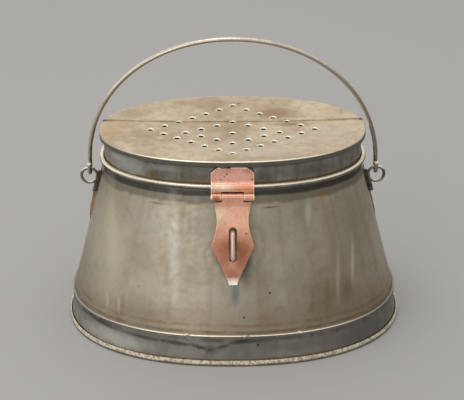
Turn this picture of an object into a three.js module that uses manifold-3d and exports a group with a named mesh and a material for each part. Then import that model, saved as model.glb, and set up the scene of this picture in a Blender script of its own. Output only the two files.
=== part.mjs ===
// A bait tin in soldered tinplate: an oval can that flares towards its foot, a hinged lid with punched
// air holes, a copper hasp that drops over a wire staple, and a wire bail that swings in two wire ears.
// Millimetres. The origin is on the floor at the middle of the foot: +X right, +Y rear, +Z up.

import * as THREE from "three";
import { mergeVertices } from "three/addons/utils/BufferGeometryUtils.js";
import Module from "manifold-3d";

const wasm = await Module();
wasm.setup();

// Sheet and wire
const tinThickness = 0.6;
const copperThickness = 0.9;
const solderGap = 0.3; // the film of solder between two pieces that are sweated together
const runningGap = 0.3; // between a knuckle and its pin, and between neighbouring knuckles
const cutOverrun = 6; // how far a cutting solid reaches past what it cuts

// The ovals: a half width along X, a half depth along Y and the power of their outline
const ovalPower = 2.22;
const ovalSegments = 60;
const footHalfWidth = 114;
const footHalfDepth = 84.5;
const skirtHalfWidth = 86.05;
const skirtHalfDepth = 54.95;
const coreShare = 0.9; // inside this share of the collar the ovals shrink in proportion to their centre

// Body
const wallTopHeight = 115;
const wallTurnRise = 0.4; // from the band's top edge up to where the flared wall turns down behind it
const wallTurnDepth = 10;
const sideLap = 6; // how far the front sheet covers the rear one at each side seam
const seamJoggle = tinThickness + solderGap;
const lapNotchDrop = 1.5; // from the collar's lower edge down to the notch in the rear sheet's lap
const collarClearance = 0.9;
const collarRise = 8.5;
const collarDrop = 8;
const bandHeight = 21.6;
const bandDraw = 3.2; // how far the band draws in from the foot to its top edge
const bandHemHeight = 1.6;
const bandHemProud = 0.7;
const bandHemShares = [0.2, 0.8]; // the hem's flat, as shares of its height
const bottomSeamHeight = 4.2;
const bottomPanelLift = 2.4;

// Lid
const lidRise = 20; // from the top of the wall to the top of the lid
const lidEdgeOverhang = 2.75; // from the skirt to the outside of the turned-down edge
const lidEdgeDrop = 2.9;
const lidEdgeRound = 0.5;
const lidDish = 1.5;
const lidDishShares = [
  [0, 1],
  [0.12, 1],
  [0.38, 0.88],
  [0.62, 0.68],
  [0.86, 0.22],
  [0.95, 0],
];
const beadRadius = 1.85;
const beadRise = 1.7; // from the top of the wall to the middle of the lid's bead
const beadEndAngle = 110;
const beadStepAngle = 36.25;
const lapFrontEdge = 13.6; // the rear lid plate's front edge, which lies on the front plate
const lapWidth = 3;

// Punched air holes: two diamonds and a middle hole
const holeRadius = 1.6;
const holeSides = 8;
const outerDiamond = { sideMargin: 31.25, endMargin: 13.05, centre: -0.6, steps: 6 };
const innerDiamond = { sideMargin: 54.85, endMargin: 36.45, centre: -5.2, steps: 3 };
const middleHolePlace = -6.4;

// Hinges: the hasp's at the front and the lid's at the rear
const pinRadius = 1.3;
const pinSides = 16;
const pinProud = 0.5;
const hingeStandOff = 1.85; // from the outside of the lid's bead to the pin's axis
const hingeDrop = 5.4; // from the middle of the bead down to the pins
const leafWidth = 27.8;
const midKnuckleWidth = 14;
const lidLeafDrop = 4.6; // from the top of the lid down to its leaves
const lidLeafChamferWidth = 4.6;
const lidLeafChamferHeight = 3.9;
const knuckleNotchRise = 3.3;
const knuckleStepAngle = 30;
const leafSetShare = 1.5; // where the leaf starts to leave the skirt, in bead radii above the bead
const beadCoverFrom = 75;
const beadCoverTo = -10;
const bodyLeafLength = 22.3; // from the pin down to its lower edge
const bodyLeafBendDrop = 6.3;

// Hasp leaf, measured down from its pin
const haspCreaseDrop = 5.3;
const haspShoulderDrop = 2.6;
const haspShoulderHalfWidth = 12.2;
const haspWaistDrop = 15.3;
const haspWaistHalfWidth = 10.2;
const haspHollowShare = 0.35; // of the widening that is reached half way from the waist to the widest place
const haspWideDrop = 31.3;
const haspWideHalfWidth = 13.9;
const haspTaperDrop = 52.7;
const haspTaperHalfWidth = 3.9;
const haspTipDrop = 55.9;
const haspTipHalfWidth = 2.6;
const haspTipFlare = 3;
const haspWallGap = 1.1; // between the back of the leaf and the wall, at the end of the taper
const slotHalfWidth = 2.7;
const slotAboveStaple = 12.9; // from the middle of the staple up to the end of the slot
const slotBelowStaple = 10.1;
const slotArcSteps = 6;

// Staple
const stapleWireRadius = 1.4;
const stapleDrop = 31.6; // from the pin down to its middle, on the wall
const stapleSpan = 17.2; // between the middles of its legs
const stapleReach = 9.5; // from the wall to the middle of its crown
const stapleCornerRadius = 2.6;
const stapleClinchDepth = 2.7; // behind the wall's face
const stapleClinchLength = 5;
const stapleArcSteps = 4;
// The clinch, from its end to the wall: shares of its length along the wall and of its depth behind it
const stapleClinchShares = [
  [1, 1],
  [0.5, 1],
  [0.07, 0.8],
  [0, 0.25],
];

// Ears
const earWireRadius = 1;
const earRadius = 5.3;
const earDrop = 14.2; // from the top of the wall down to the middle of the eye
const earStandOff = 7.8; // from the wall to the middle of the eye
const earEndAngle = -105;
const earStepAngle = 19;
const earLegDrop = 12.2; // from the middle of the eye down to the end of its leg
const earPatchDrop = 10.4;
const earPatchRise = 5.2;
const earPatchWidth = 10;
const earPatchGrip = 0.1; // extra room between patch and leg

// Bail: it leans forward as it stands in its ears
const bailWireRadius = 1.45;
const bailLean = 16; // degrees from upright
const bailHookRadius = 3;
const bailHookTip = 6; // how far the free end stands above the hook
const bailSetIn = 0.6; // from the middle of the eye in to the bail
const bailRise = 102.9; // from the pivots to the middle of the grip
const bailPower = 2.07;
const bailArchSteps = 44;
const bailHookSteps = 6;
const wireSides = 10;
const smallWireSides = 8;

// What follows from the sizes above
const wallTurnHeight = bandHeight + wallTurnRise;
const bandTopHalfWidth = footHalfWidth - bandDraw;
const lidTopHeight = wallTopHeight + lidRise;
const beadHeight = wallTopHeight + beadRise;
const hingeHeight = beadHeight - hingeDrop;
const stapleHeight = hingeHeight - stapleDrop;
const earHeight = wallTopHeight - earDrop;
const skirtOvalness = skirtHalfWidth - skirtHalfDepth;
const footOvalness = footHalfWidth - footHalfDepth;
const skirtMiddle = skirtHalfWidth - tinThickness / 2;
const collarHalfWidth = skirtHalfWidth - tinThickness - collarClearance;
const wallTopHalfWidth = collarHalfWidth + solderGap + tinThickness;
const wallTurnHalfWidth = bandTopHalfWidth - tinThickness - solderGap;
const bandFootHalfWidth = footHalfWidth - tinThickness - solderGap;
const bandFootHeight = tinThickness + solderGap;
const coreHalfWidth = collarHalfWidth * coreShare;
const curlRadius = beadRadius - tinThickness / 2;
const curlMiddle = skirtMiddle + curlRadius;
const rimWireRadius = beadRadius - tinThickness - solderGap;
const beadDepth = curlMiddle - skirtOvalness;
const hingeDepth = beadDepth + beadRadius + hingeStandOff;
const knuckleRadius = pinRadius + runningGap + copperThickness / 2;
const bailPivotHeight = earHeight + earRadius;
const earHalfSpan = wallHalfWidth(earHeight) + earStandOff;
const bailHalfSpan = earHalfSpan - bailSetIn;

// Finishes
function finish(color, roughness, metalness) {
  return new THREE.MeshStandardMaterial({ color, roughness, metalness });
}

const agedTin = finish(0x9c9684, 0.45, 0.8);
const darkTin = finish(0x66645c, 0.5, 0.8);
const lidTin = finish(0xb9a992, 0.5, 0.7);
const copper = finish(0xc27a5c, 0.35, 0.9);
const steelWire = finish(0x8f8a7c, 0.4, 0.9);

const radians = THREE.MathUtils.degToRad;

// How much narrower than wide the oval is, half and half, at a height.
function ovalness(height) {
  const share = (height - bandHeight) / (wallTopHeight - bandHeight);
  return THREE.MathUtils.lerp(footOvalness, skirtOvalness, THREE.MathUtils.clamp(share, 0, 1));
}

// The half depth of the oval that has this half width.
function halfDepthOf(halfWidth, height) {
  return halfWidth - ovalness(height) * Math.min(1, halfWidth / coreHalfWidth);
}

// The outside of the flared wall.
function wallHalfWidth(height) {
  const share = (wallTopHeight - height) / (wallTopHeight - wallTurnHeight);
  return THREE.MathUtils.lerp(wallTopHalfWidth, wallTurnHalfWidth, share);
}

function wallHalfDepth(height) {
  return halfDepthOf(wallHalfWidth(height), height);
}

const signedPower = (value, power) => Math.sign(value) * Math.abs(value) ** power;

// A closed geometry as a solid.
function solidOf(geometry) {
  const bare = new THREE.BufferGeometry().setAttribute("position", geometry.getAttribute("position"));
  bare.setIndex(geometry.index);
  const merged = mergeVertices(bare, 1e-4 * tinThickness);
  return new wasm.Manifold(
    new wasm.Mesh({
      numProp: 3,
      vertProperties: merged.attributes.position.array,
      triVerts: new Uint32Array(merged.index.array),
    }),
  );
}

// A solid as a named mesh.
function meshOf(name, solid, material) {
  const { vertProperties, triVerts } = solid.getMesh();
  const geometry = new THREE.BufferGeometry();
  geometry.setAttribute("position", new THREE.BufferAttribute(vertProperties, 3));
  geometry.setIndex(new THREE.BufferAttribute(triVerts, 1));
  geometry.computeVertexNormals();
  const mesh = new THREE.Mesh(geometry, material);
  mesh.name = name;
  return mesh;
}

// A box between two corners.
function boxOf(low, high) {
  const size = high.map((value, axis) => value - low[axis]);
  const geometry = new THREE.BoxGeometry(...size);
  return solidOf(geometry.translate(low[0] + size[0] / 2, low[1] + size[1] / 2, low[2] + size[2] / 2));
}

// Everything between two planes across the tin's depth.
function depthSlab(front, rear) {
  const reach = footHalfWidth + cutOverrun;
  return boxOf([-reach, front, -cutOverrun], [reach, rear, lidTopHeight + cutOverrun]);
}

// Everything behind a plane across the tin, between two heights.
function rearBlock(front, low, high) {
  const reach = footHalfWidth + cutOverrun;
  return boxOf([-reach, front, low], [reach, everRear, high]);
}

const everFront = -footHalfDepth - cutOverrun;
const everRear = footHalfDepth + cutOverrun;

// Points on an arc, from one angle to another in degrees.
function arcPoints(centre, radius, from, to, stepAngle) {
  const steps = Math.max(1, Math.round(Math.abs(to - from) / stepAngle));
  return Array.from({ length: steps + 1 }, (_, i) => {
    const angle = radians(THREE.MathUtils.lerp(from, to, i / steps));
    return new THREE.Vector2(centre.x + radius * Math.cos(angle), centre.y + radius * Math.sin(angle));
  });
}

// The outline of a bent sheet, from the line through the middle of its thickness.
function sheetOutline(middle, thickness) {
  const side = (sign) =>
    middle.map((point, i) => {
      const before = middle[Math.max(i - 1, 0)];
      const after = middle[Math.min(i + 1, middle.length - 1)];
      const into = point.clone().sub(before).normalize();
      const outOf = after.clone().sub(point).normalize();
      const along = into.clone().add(outOf).normalize();
      const bend = i === 0 || i === middle.length - 1 ? 1 : along.dot(outOf);
      const offset = (sign * thickness) / 2 / bend;
      return new THREE.Vector2(point.x - along.y * offset, point.y + along.x * offset);
    });
  return [...side(-1), ...side(1).reverse()];
}

// A profile of half widths and heights carried round the oval. Inset draws it in at an angle of the oval.
function ovalLathe(outline, inset = () => 0) {
  const closed = outline[0].x > 0 ? [...outline, outline[0]] : outline;
  const geometry = new THREE.LatheGeometry(closed, ovalSegments).rotateX(Math.PI / 2);
  const position = geometry.getAttribute("position");
  for (let i = 0; i < position.count; i += 1) {
    const angle = Math.atan2(position.getY(i), position.getX(i));
    const height = position.getZ(i);
    const halfWidth = Math.hypot(position.getX(i), position.getY(i)) - inset(angle);
    const x = halfWidth * signedPower(Math.cos(angle), 2 / ovalPower);
    const y = halfDepthOf(halfWidth, height) * signedPower(Math.sin(angle), 2 / ovalPower);
    position.setXY(i, x, y);
  }
  return solidOf(geometry);
}

// A curve through points that a tube steps along one by one.
class WireRoute extends THREE.CatmullRomCurve3 {
  getPointAt(share, target) {
    return this.getPoint(share, target);
  }

  getTangentAt(share, target) {
    return this.getTangent(share, target);
  }
}

// A round wire along a route.
function wireAlong(points, radius, sides) {
  const corners = Array.from({ length: sides }, (_, i) => {
    const angle = (2 * Math.PI * i) / sides;
    return new THREE.Vector2(radius * Math.cos(angle), radius * Math.sin(angle));
  });
  const geometry = new THREE.ExtrudeGeometry(new THREE.Shape(corners), {
    steps: points.length - 1,
    bevelEnabled: false,
    extrudePath: new WireRoute(points),
  });
  return solidOf(geometry);
}

// A bent strip across the front of the tin, from an outline of distances forward and heights.
function stripAcross(outline, width) {
  const geometry = new THREE.ExtrudeGeometry(new THREE.Shape(outline), { depth: width, bevelEnabled: false });
  const forward = new THREE.Vector3(0, -1, 0);
  const up = new THREE.Vector3(0, 0, 1);
  const left = new THREE.Vector3(-1, 0, 0);
  geometry.applyMatrix4(new THREE.Matrix4().makeBasis(forward, up, left));
  return solidOf(geometry.translate(width / 2, 0, 0));
}

// A prism that runs forward from the middle of the tin, from an outline of places across and heights.
function frontPrism(outline) {
  const shape = new THREE.Shape(outline.map(([across, height]) => new THREE.Vector2(across, height)));
  const reach = footHalfDepth + cutOverrun;
  const geometry = new THREE.ExtrudeGeometry(shape, { depth: reach, bevelEnabled: false });
  return solidOf(geometry.rotateX(Math.PI / 2));
}

// A half outline of places to the right, carried over to the left as well.
const mirroredOutline = (half) => [...half, ...half.map(([across, height]) => [-across, height]).reverse()];

// A round pin across the tin at the hinge height.
function pinAcross(depthPlace) {
  const length = leafWidth + 2 * pinProud;
  const geometry = new THREE.CylinderGeometry(pinRadius, pinRadius, length, pinSides);
  return solidOf(geometry.rotateZ(Math.PI / 2).translate(0, depthPlace, hingeHeight));
}

// The wall's profile at its full height, or moved outward for something that lies on it.
function wallOutline() {
  const half = tinThickness / 2;
  const band = bandFootHalfWidth - bandTopHalfWidth;
  const turnSlope = band / (bandHeight - bandFootHeight);
  const middle = [
    new THREE.Vector2(wallTurnHalfWidth - half + turnSlope * wallTurnDepth, wallTurnHeight - wallTurnDepth),
    new THREE.Vector2(wallTurnHalfWidth - half, wallTurnHeight),
    new THREE.Vector2(wallTopHalfWidth - half, wallTopHeight),
  ];
  return sheetOutline(middle, tinThickness);
}

function bodyFrontSheet(stapleHoles) {
  return ovalLathe(wallOutline()).intersect(depthSlab(everFront, sideLap)).subtract(stapleHoles);
}

// The rear sheet is set in by the seam's joggle where the front sheet laps over it. Its lap is notched
// at the top, where the collar takes the room behind the wall.
function bodyRearSheet() {
  const lapAngle = (2 * Math.PI) / ovalSegments + Math.asin(sideLap / wallHalfDepth(wallTopHeight));
  const inset = (angle) => (Math.sin(angle) < Math.sin(lapAngle) ? seamJoggle : 0);
  const notch = wallTopHeight - collarDrop - lapNotchDrop;
  const lapped = ovalLathe(wallOutline(), inset).intersect(rearBlock(-sideLap, 0, notch));
  const aboveNotch = rearBlock(sideLap + solderGap, notch, wallTopHeight + cutOverrun);
  return lapped.add(ovalLathe(wallOutline()).intersect(aboveNotch));
}

// The collar stands in the mouth. It has a ring of points level with the wall's top, as the oval's shape
// changes there.
function neckCollar() {
  const middle = collarHalfWidth - tinThickness / 2;
  const heights = [wallTopHeight - collarDrop, wallTopHeight, wallTopHeight + collarRise];
  const line = heights.map((height) => new THREE.Vector2(middle, height));
  return ovalLathe(sheetOutline(line, tinThickness));
}

function footBand() {
  const hem = bandTopHalfWidth + bandHemProud;
  const bandFold = bandHeight - bandHemHeight;
  const outline = [
    new THREE.Vector2(bandFootHalfWidth - tinThickness, bandFootHeight),
    new THREE.Vector2(bandFootHalfWidth, bandFootHeight),
    new THREE.Vector2(bandTopHalfWidth, bandFold),
    ...bandHemShares.map((share) => new THREE.Vector2(hem, bandFold + bandHemHeight * share)),
    new THREE.Vector2(bandTopHalfWidth, bandHeight),
    new THREE.Vector2(bandTopHalfWidth - tinThickness, bandHeight),
  ];
  return ovalLathe(outline);
}

// The bottom panel and the channel round it that holds the foot of the band.
function bottomPlate() {
  const half = tinThickness / 2;
  const inner = bandFootHalfWidth - tinThickness - solderGap - half;
  return ovalLathe(
    sheetOutline(
      [
        new THREE.Vector2(0, bottomPanelLift + half),
        new THREE.Vector2(inner, bottomPanelLift + half),
        new THREE.Vector2(inner, half),
        new THREE.Vector2(footHalfWidth - half, half),
        new THREE.Vector2(footHalfWidth - half, bottomSeamHeight),
      ],
      tinThickness,
    ),
  );
}

// The skirt: a flange under the lid plates, the upright wall, and the bead that curls round the rim wire.
function lidSkirt() {
  const flangeHeight = lidTopHeight - tinThickness - solderGap - tinThickness / 2;
  const flangeEnd = skirtHalfWidth + lidEdgeOverhang - tinThickness - solderGap;
  const bead = new THREE.Vector2(curlMiddle, beadHeight);
  const curl = arcPoints(bead, curlRadius, -180, beadEndAngle, beadStepAngle);
  const middle = [
    new THREE.Vector2(flangeEnd, flangeHeight),
    new THREE.Vector2(skirtMiddle, flangeHeight),
    ...curl,
  ];
  return ovalLathe(sheetOutline(middle, tinThickness));
}

function lidRimWire() {
  const bead = new THREE.Vector2(curlMiddle, beadHeight);
  const outline = arcPoints(bead, rimWireRadius, 0, 360, 360 / smallWireSides);
  return ovalLathe(outline.slice(0, -1));
}

// The dished middle of the lid, raised by lift.
function dishMiddle(lift) {
  const top = lidTopHeight - tinThickness / 2 + lift;
  return lidDishShares.map(
    ([reach, depth]) => new THREE.Vector2(reach * skirtHalfWidth, top - depth * lidDish),
  );
}

// The whole lid top: the dished middle, the flat rim and the turned-down edge.
function lidTop() {
  const top = lidTopHeight - tinThickness / 2;
  const edge = skirtHalfWidth + lidEdgeOverhang - tinThickness / 2;
  const middle = [
    ...dishMiddle(0),
    new THREE.Vector2(edge - lidEdgeRound, top),
    new THREE.Vector2(edge, top - lidEdgeRound),
    new THREE.Vector2(edge, top - lidEdgeDrop),
  ];
  return ovalLathe(sheetOutline(middle, tinThickness));
}

// The air holes' places, as pairs of X and Y.
function holePlaces() {
  const corners = [
    [1, 0],
    [0, 1],
    [-1, 0],
    [0, -1],
  ];
  const sideOf = ({ sideMargin, endMargin, centre, steps }) =>
    corners.flatMap((from, i) => {
      const to = corners[(i + 1) % corners.length];
      return Array.from({ length: steps }, (_, step) => [
        THREE.MathUtils.lerp(from[0], to[0], step / steps) * (skirtHalfWidth - sideMargin),
        THREE.MathUtils.lerp(from[1], to[1], step / steps) * (skirtHalfDepth - endMargin) + centre,
      ]);
    });
  return [...sideOf(outerDiamond), ...sideOf(innerDiamond), [0, middleHolePlace]];
}

function airHoles() {
  const punches = holePlaces().map(([x, y]) => {
    const geometry = new THREE.CylinderGeometry(holeRadius, holeRadius, 2 * cutOverrun, holeSides);
    return solidOf(geometry.rotateX(Math.PI / 2).translate(x, y, lidTopHeight));
  });
  return punches.reduce((all, punch) => all.add(punch));
}

function lidFrontPlate(punched) {
  const seam = lapFrontEdge + lapWidth;
  return lidTop().intersect(depthSlab(everFront, seam)).subtract(punched);
}

// The rear plate steps up at the seam and laps forward over the front plate.
function lidRearPlate(punched) {
  const seam = lapFrontEdge + lapWidth + solderGap;
  const rise = tinThickness + solderGap;
  const riser = ovalLathe(sheetOutline(dishMiddle(rise / 2), tinThickness + rise));
  const tongue = ovalLathe(sheetOutline(dishMiddle(rise), tinThickness));
  return lidTop()
    .intersect(depthSlab(seam, everRear))
    .add(riser.intersect(depthSlab(seam, seam + tinThickness)))
    .add(tongue.intersect(depthSlab(lapFrontEdge, seam + tinThickness)))
    .subtract(punched);
}

// The line of a lid's leaf: it is soldered on the skirt, passes over the bead and curls round the pin.
function lidLeafMiddle() {
  const half = copperThickness / 2;
  const onSkirt = skirtHalfDepth + solderGap + half;
  const bead = new THREE.Vector2(beadDepth, beadHeight);
  const overBead = beadRadius + solderGap + half;
  return [
    new THREE.Vector2(onSkirt, lidTopHeight - lidLeafDrop),
    new THREE.Vector2(onSkirt, beadHeight + leafSetShare * overBead),
    ...arcPoints(bead, overBead, beadCoverFrom, beadCoverTo, knuckleStepAngle),
    ...arcPoints(new THREE.Vector2(hingeDepth, hingeHeight), knuckleRadius, 180, 450, knuckleStepAngle),
  ];
}

// The copper leaf on the lid, with two knuckles and a notch between them for the other leaf's knuckle.
function lidLeaf() {
  const side = leafWidth / 2;
  const top = lidTopHeight - lidLeafDrop;
  const low = hingeHeight - knuckleRadius - copperThickness;
  const outline = frontPrism(
    mirroredOutline([
      [side, low],
      [side, top - lidLeafChamferHeight],
      [side - lidLeafChamferWidth, top],
    ]),
  );
  const notch = midKnuckleWidth / 2 + runningGap;
  const leaf = stripAcross(sheetOutline(lidLeafMiddle(), copperThickness), leafWidth);
  const notchLow = [-notch, -hingeDepth - cutOverrun, low - cutOverrun];
  const gapForKnuckle = boxOf(notchLow, [notch, 0, hingeHeight + knuckleNotchRise]);
  return leaf.intersect(outline).subtract(gapForKnuckle);
}

// The hasp's line: a knuckle, a short drop, a crease, the long slanted leaf and the tip that flares out.
function haspMiddle() {
  const half = copperThickness / 2;
  const creaseDepth = hingeDepth + knuckleRadius;
  const taperHeight = hingeHeight - haspTaperDrop;
  const taperDepth = wallHalfDepth(taperHeight) + haspWallGap + half;
  return [
    ...arcPoints(new THREE.Vector2(hingeDepth, hingeHeight), knuckleRadius, 270, 0, knuckleStepAngle),
    new THREE.Vector2(creaseDepth, hingeHeight - haspCreaseDrop),
    new THREE.Vector2(taperDepth, taperHeight),
    new THREE.Vector2(taperDepth + haspTipFlare, hingeHeight - haspTipDrop),
  ];
}

function slotOutline() {
  const step = 180 / slotArcSteps;
  const top = new THREE.Vector2(0, stapleHeight + slotAboveStaple - slotHalfWidth);
  const foot = new THREE.Vector2(0, stapleHeight - slotBelowStaple + slotHalfWidth);
  return [
    ...arcPoints(top, slotHalfWidth, 0, 180, step),
    ...arcPoints(foot, slotHalfWidth, 180, 360, step),
  ].map((point) => [point.x, point.y]);
}

function haspLeaf() {
  const knuckle = midKnuckleWidth / 2;
  const above = hingeHeight + knuckleRadius + copperThickness;
  const hollow = THREE.MathUtils.lerp(haspWaistHalfWidth, haspWideHalfWidth, haspHollowShare);
  const outline = frontPrism(
    mirroredOutline([
      [haspTipHalfWidth, hingeHeight - haspTipDrop - copperThickness],
      [haspTaperHalfWidth, hingeHeight - haspTaperDrop],
      [haspWideHalfWidth, hingeHeight - haspWideDrop],
      [hollow, hingeHeight - (haspWaistDrop + haspWideDrop) / 2],
      [haspWaistHalfWidth, hingeHeight - haspWaistDrop],
      [haspShoulderHalfWidth, hingeHeight - haspShoulderDrop],
      [knuckle, hingeHeight - haspShoulderDrop],
      [knuckle, above],
    ]),
  );
  const leaf = stripAcross(sheetOutline(haspMiddle(), copperThickness), leafWidth);
  return leaf.intersect(outline).subtract(frontPrism(slotOutline()));
}

// The copper leaf on the body's rear wall, made as if at the front. Its knuckle fills the lid leaf's notch.
function bodyLeaf() {
  const half = copperThickness / 2;
  const foot = hingeHeight - bodyLeafLength;
  const onWall = (height) => new THREE.Vector2(wallHalfDepth(height) + solderGap + half, height);
  const middle = [
    onWall(foot),
    onWall(hingeHeight - bodyLeafBendDrop),
    ...arcPoints(new THREE.Vector2(hingeDepth, hingeHeight), knuckleRadius, 180, -90, knuckleStepAngle),
  ];
  const side = leafWidth / 2;
  const knuckle = midKnuckleWidth / 2;
  const outline = frontPrism(
    mirroredOutline([
      [side - lidLeafChamferWidth, foot - copperThickness],
      [side, foot + lidLeafChamferHeight],
      [side, hingeHeight - haspShoulderDrop],
      [knuckle, hingeHeight - haspShoulderDrop],
      [knuckle, hingeHeight + knuckleRadius + copperThickness],
    ]),
  );
  return stripAcross(sheetOutline(middle, copperThickness), leafWidth).intersect(outline);
}

const turnedToRear = (solid) => solid.rotate([0, 0, 180]);

// The staple's route: it stands square to the sloping wall, and its ends are clinched behind it.
function stapleRoute() {
  const half = stapleSpan / 2;
  const round = stapleCornerRadius;
  const corner = new THREE.Vector2(half - round, stapleReach - round);
  const crownArc = arcPoints(corner, round, 0, 90, 90 / stapleArcSteps);
  const upperHalf = [
    ...stapleClinchShares.map(
      ([along, behind]) => new THREE.Vector2(half + along * stapleClinchLength, -behind * stapleClinchDepth),
    ),
    new THREE.Vector2(half, (stapleReach - round) / 2),
    ...crownArc,
  ];
  const lowerHalf = upperHalf.map((point) => new THREE.Vector2(-point.x, point.y)).reverse();
  const rise = wallTopHeight - wallTurnHeight;
  const slope = Math.atan2(wallHalfDepth(wallTurnHeight) - wallHalfDepth(wallTopHeight), rise);
  const wallFace = wallHalfDepth(stapleHeight);
  return [...upperHalf, ...lowerHalf].map(({ x: along, y: out }) => {
    const forward = wallFace + out * Math.cos(slope) - along * Math.sin(slope);
    return new THREE.Vector3(0, -forward, stapleHeight + out * Math.sin(slope) + along * Math.cos(slope));
  });
}

// A wire eye whose leg runs down the wall. Side is 1 on the right and -1 on the left.
function earEye(side) {
  const earRoom = solderGap + tinThickness + solderGap + earPatchGrip + earWireRadius;
  const legPlace = (height) => wallHalfWidth(height) + earRoom;
  const eye = arcPoints(new THREE.Vector2(earHalfSpan, earHeight), earRadius, 180, earEndAngle, earStepAngle);
  const legTop = earHeight - earRadius / 2;
  const legBottom = earHeight - earLegDrop;
  const leg = [legBottom, (legBottom + legTop) / 2, legTop];
  const route = [...leg.map((height) => new THREE.Vector2(legPlace(height), height)), ...eye];
  return wireAlong(
    route.map(({ x, y: height }) => new THREE.Vector3(side * x, 0, height)),
    earWireRadius,
    smallWireSides,
  );
}

// The tin patch that stiffens the wall under an ear.
function earPatch(side) {
  const face = (height) => wallHalfWidth(height) + solderGap + tinThickness / 2;
  const ends = [earHeight - earPatchDrop, earHeight + earPatchRise];
  const middle = ends.map((height) => new THREE.Vector2(face(height), height));
  const ring = ovalLathe(sheetOutline(middle, tinThickness));
  const reach = side * (footHalfWidth + cutOverrun);
  const half = earPatchWidth / 2;
  return ring.intersect(boxOf([Math.min(0, reach), -half, 0], [Math.max(0, reach), half, wallTopHeight]));
}

// The bail's route from one free end, through its hook, over the arch and down to the other. Its pivots
// are at height zero here.
function bailRoute() {
  const hook = Array.from({ length: bailHookSteps }, (_, i) => {
    const angle = Math.PI + (Math.PI * i) / bailHookSteps;
    const place = new THREE.Vector2(Math.cos(angle), Math.sin(angle)).multiplyScalar(bailHookRadius);
    return new THREE.Vector3(bailHalfSpan, place.x, place.y);
  });
  const rightEnd = [
    new THREE.Vector3(bailHalfSpan, -bailHookRadius, bailHookTip),
    new THREE.Vector3(bailHalfSpan, -bailHookRadius, bailHookTip / 2),
    ...hook,
  ];
  const arch = Array.from({ length: bailArchSteps + 1 }, (_, i) => {
    const angle = (Math.PI * i) / bailArchSteps;
    return new THREE.Vector3(
      bailHalfSpan * signedPower(Math.cos(angle), 2 / bailPower),
      bailHookRadius,
      bailRise * signedPower(Math.sin(angle), 2 / bailPower),
    );
  });
  const leftEnd = rightEnd.map(({ x, y, z }) => new THREE.Vector3(-x, y, z)).reverse();
  return [...rightEnd, ...arch, ...leftEnd];
}

const staplePath = stapleRoute();
const stapleHoles = wireAlong(staplePath, stapleWireRadius + solderGap, wireSides);
const punched = airHoles();

const body = new THREE.Group();
body.add(
  meshOf("body_front_sheet", bodyFrontSheet(stapleHoles), agedTin),
  meshOf("body_rear_sheet", bodyRearSheet(), agedTin),
  meshOf("neck_collar", neckCollar(), darkTin),
  meshOf("foot_band", footBand(), darkTin),
  meshOf("bottom_plate", bottomPlate(), darkTin),
  meshOf("right_ear_patch", earPatch(1), darkTin),
  meshOf("left_ear_patch", earPatch(-1), darkTin),
  meshOf("right_ear_eye", earEye(1), steelWire),
  meshOf("left_ear_eye", earEye(-1), steelWire),
  meshOf("hasp_staple", wireAlong(staplePath, stapleWireRadius, wireSides), copper),
  meshOf("hinge_body_leaf", turnedToRear(bodyLeaf()), copper),
  meshOf("hinge_pin", pinAcross(hingeDepth), copper),
);

const lid = new THREE.Group();
lid.add(
  meshOf("lid_front_plate", lidFrontPlate(punched), lidTin),
  meshOf("lid_rear_plate", lidRearPlate(punched), lidTin),
  meshOf("lid_skirt", lidSkirt(), darkTin),
  meshOf("lid_rim_wire", lidRimWire(), steelWire),
  meshOf("hinge_lid_leaf", turnedToRear(lidLeaf()), copper),
  meshOf("hasp_lid_leaf", lidLeaf(), copper),
  meshOf("hasp_pin", pinAcross(-hingeDepth), copper),
);

const hasp = new THREE.Group();
hasp.add(meshOf("hasp_leaf", haspLeaf(), copper));

const bail = new THREE.Group();
bail.position.z = bailPivotHeight;
bail.rotation.x = radians(bailLean);
bail.add(meshOf("bail_wire", wireAlong(bailRoute(), bailWireRadius, wireSides), steelWire));

const baitTin = new THREE.Group();
baitTin.add(body, lid, hasp, bail);

export default baitTin;
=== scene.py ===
"""The looks of an antique bait tin: soldered tinplate, a punched lid, a copper hasp and a wire bail.

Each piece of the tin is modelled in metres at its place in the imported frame, gets its finish, rides on its
body and stands for its node. The studio round it is a pale floor with soft light.
"""

from __future__ import annotations

import logging
import math
from collections.abc import Callable, Iterator, Sequence
from contextlib import contextmanager
from dataclasses import dataclass, field
from enum import Enum
from functools import reduce
from itertools import pairwise

import bmesh
import bpy
from mathutils import Matrix, Vector, noise


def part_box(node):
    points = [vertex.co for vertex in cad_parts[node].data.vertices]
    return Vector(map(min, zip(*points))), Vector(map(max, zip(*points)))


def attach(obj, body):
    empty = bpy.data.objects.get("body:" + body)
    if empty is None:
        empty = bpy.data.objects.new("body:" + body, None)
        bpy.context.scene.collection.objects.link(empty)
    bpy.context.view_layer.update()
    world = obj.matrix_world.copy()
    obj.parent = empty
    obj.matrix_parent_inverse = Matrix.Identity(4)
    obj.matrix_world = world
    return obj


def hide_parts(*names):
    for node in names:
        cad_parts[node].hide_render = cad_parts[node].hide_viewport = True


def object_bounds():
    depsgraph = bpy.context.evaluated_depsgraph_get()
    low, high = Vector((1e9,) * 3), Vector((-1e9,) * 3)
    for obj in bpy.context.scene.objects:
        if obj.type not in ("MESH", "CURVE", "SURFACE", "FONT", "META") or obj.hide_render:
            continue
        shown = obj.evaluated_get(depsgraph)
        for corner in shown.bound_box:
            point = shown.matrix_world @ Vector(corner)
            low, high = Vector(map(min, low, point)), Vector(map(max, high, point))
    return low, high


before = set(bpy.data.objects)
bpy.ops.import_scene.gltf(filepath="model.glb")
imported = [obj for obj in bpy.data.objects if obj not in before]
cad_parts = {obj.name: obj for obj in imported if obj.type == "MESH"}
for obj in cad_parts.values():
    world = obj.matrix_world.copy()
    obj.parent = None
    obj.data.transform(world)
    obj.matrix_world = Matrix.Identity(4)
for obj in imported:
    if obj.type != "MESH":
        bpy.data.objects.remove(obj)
cad_low, cad_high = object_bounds()

log = logging.getLogger("bait_tin")

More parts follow.
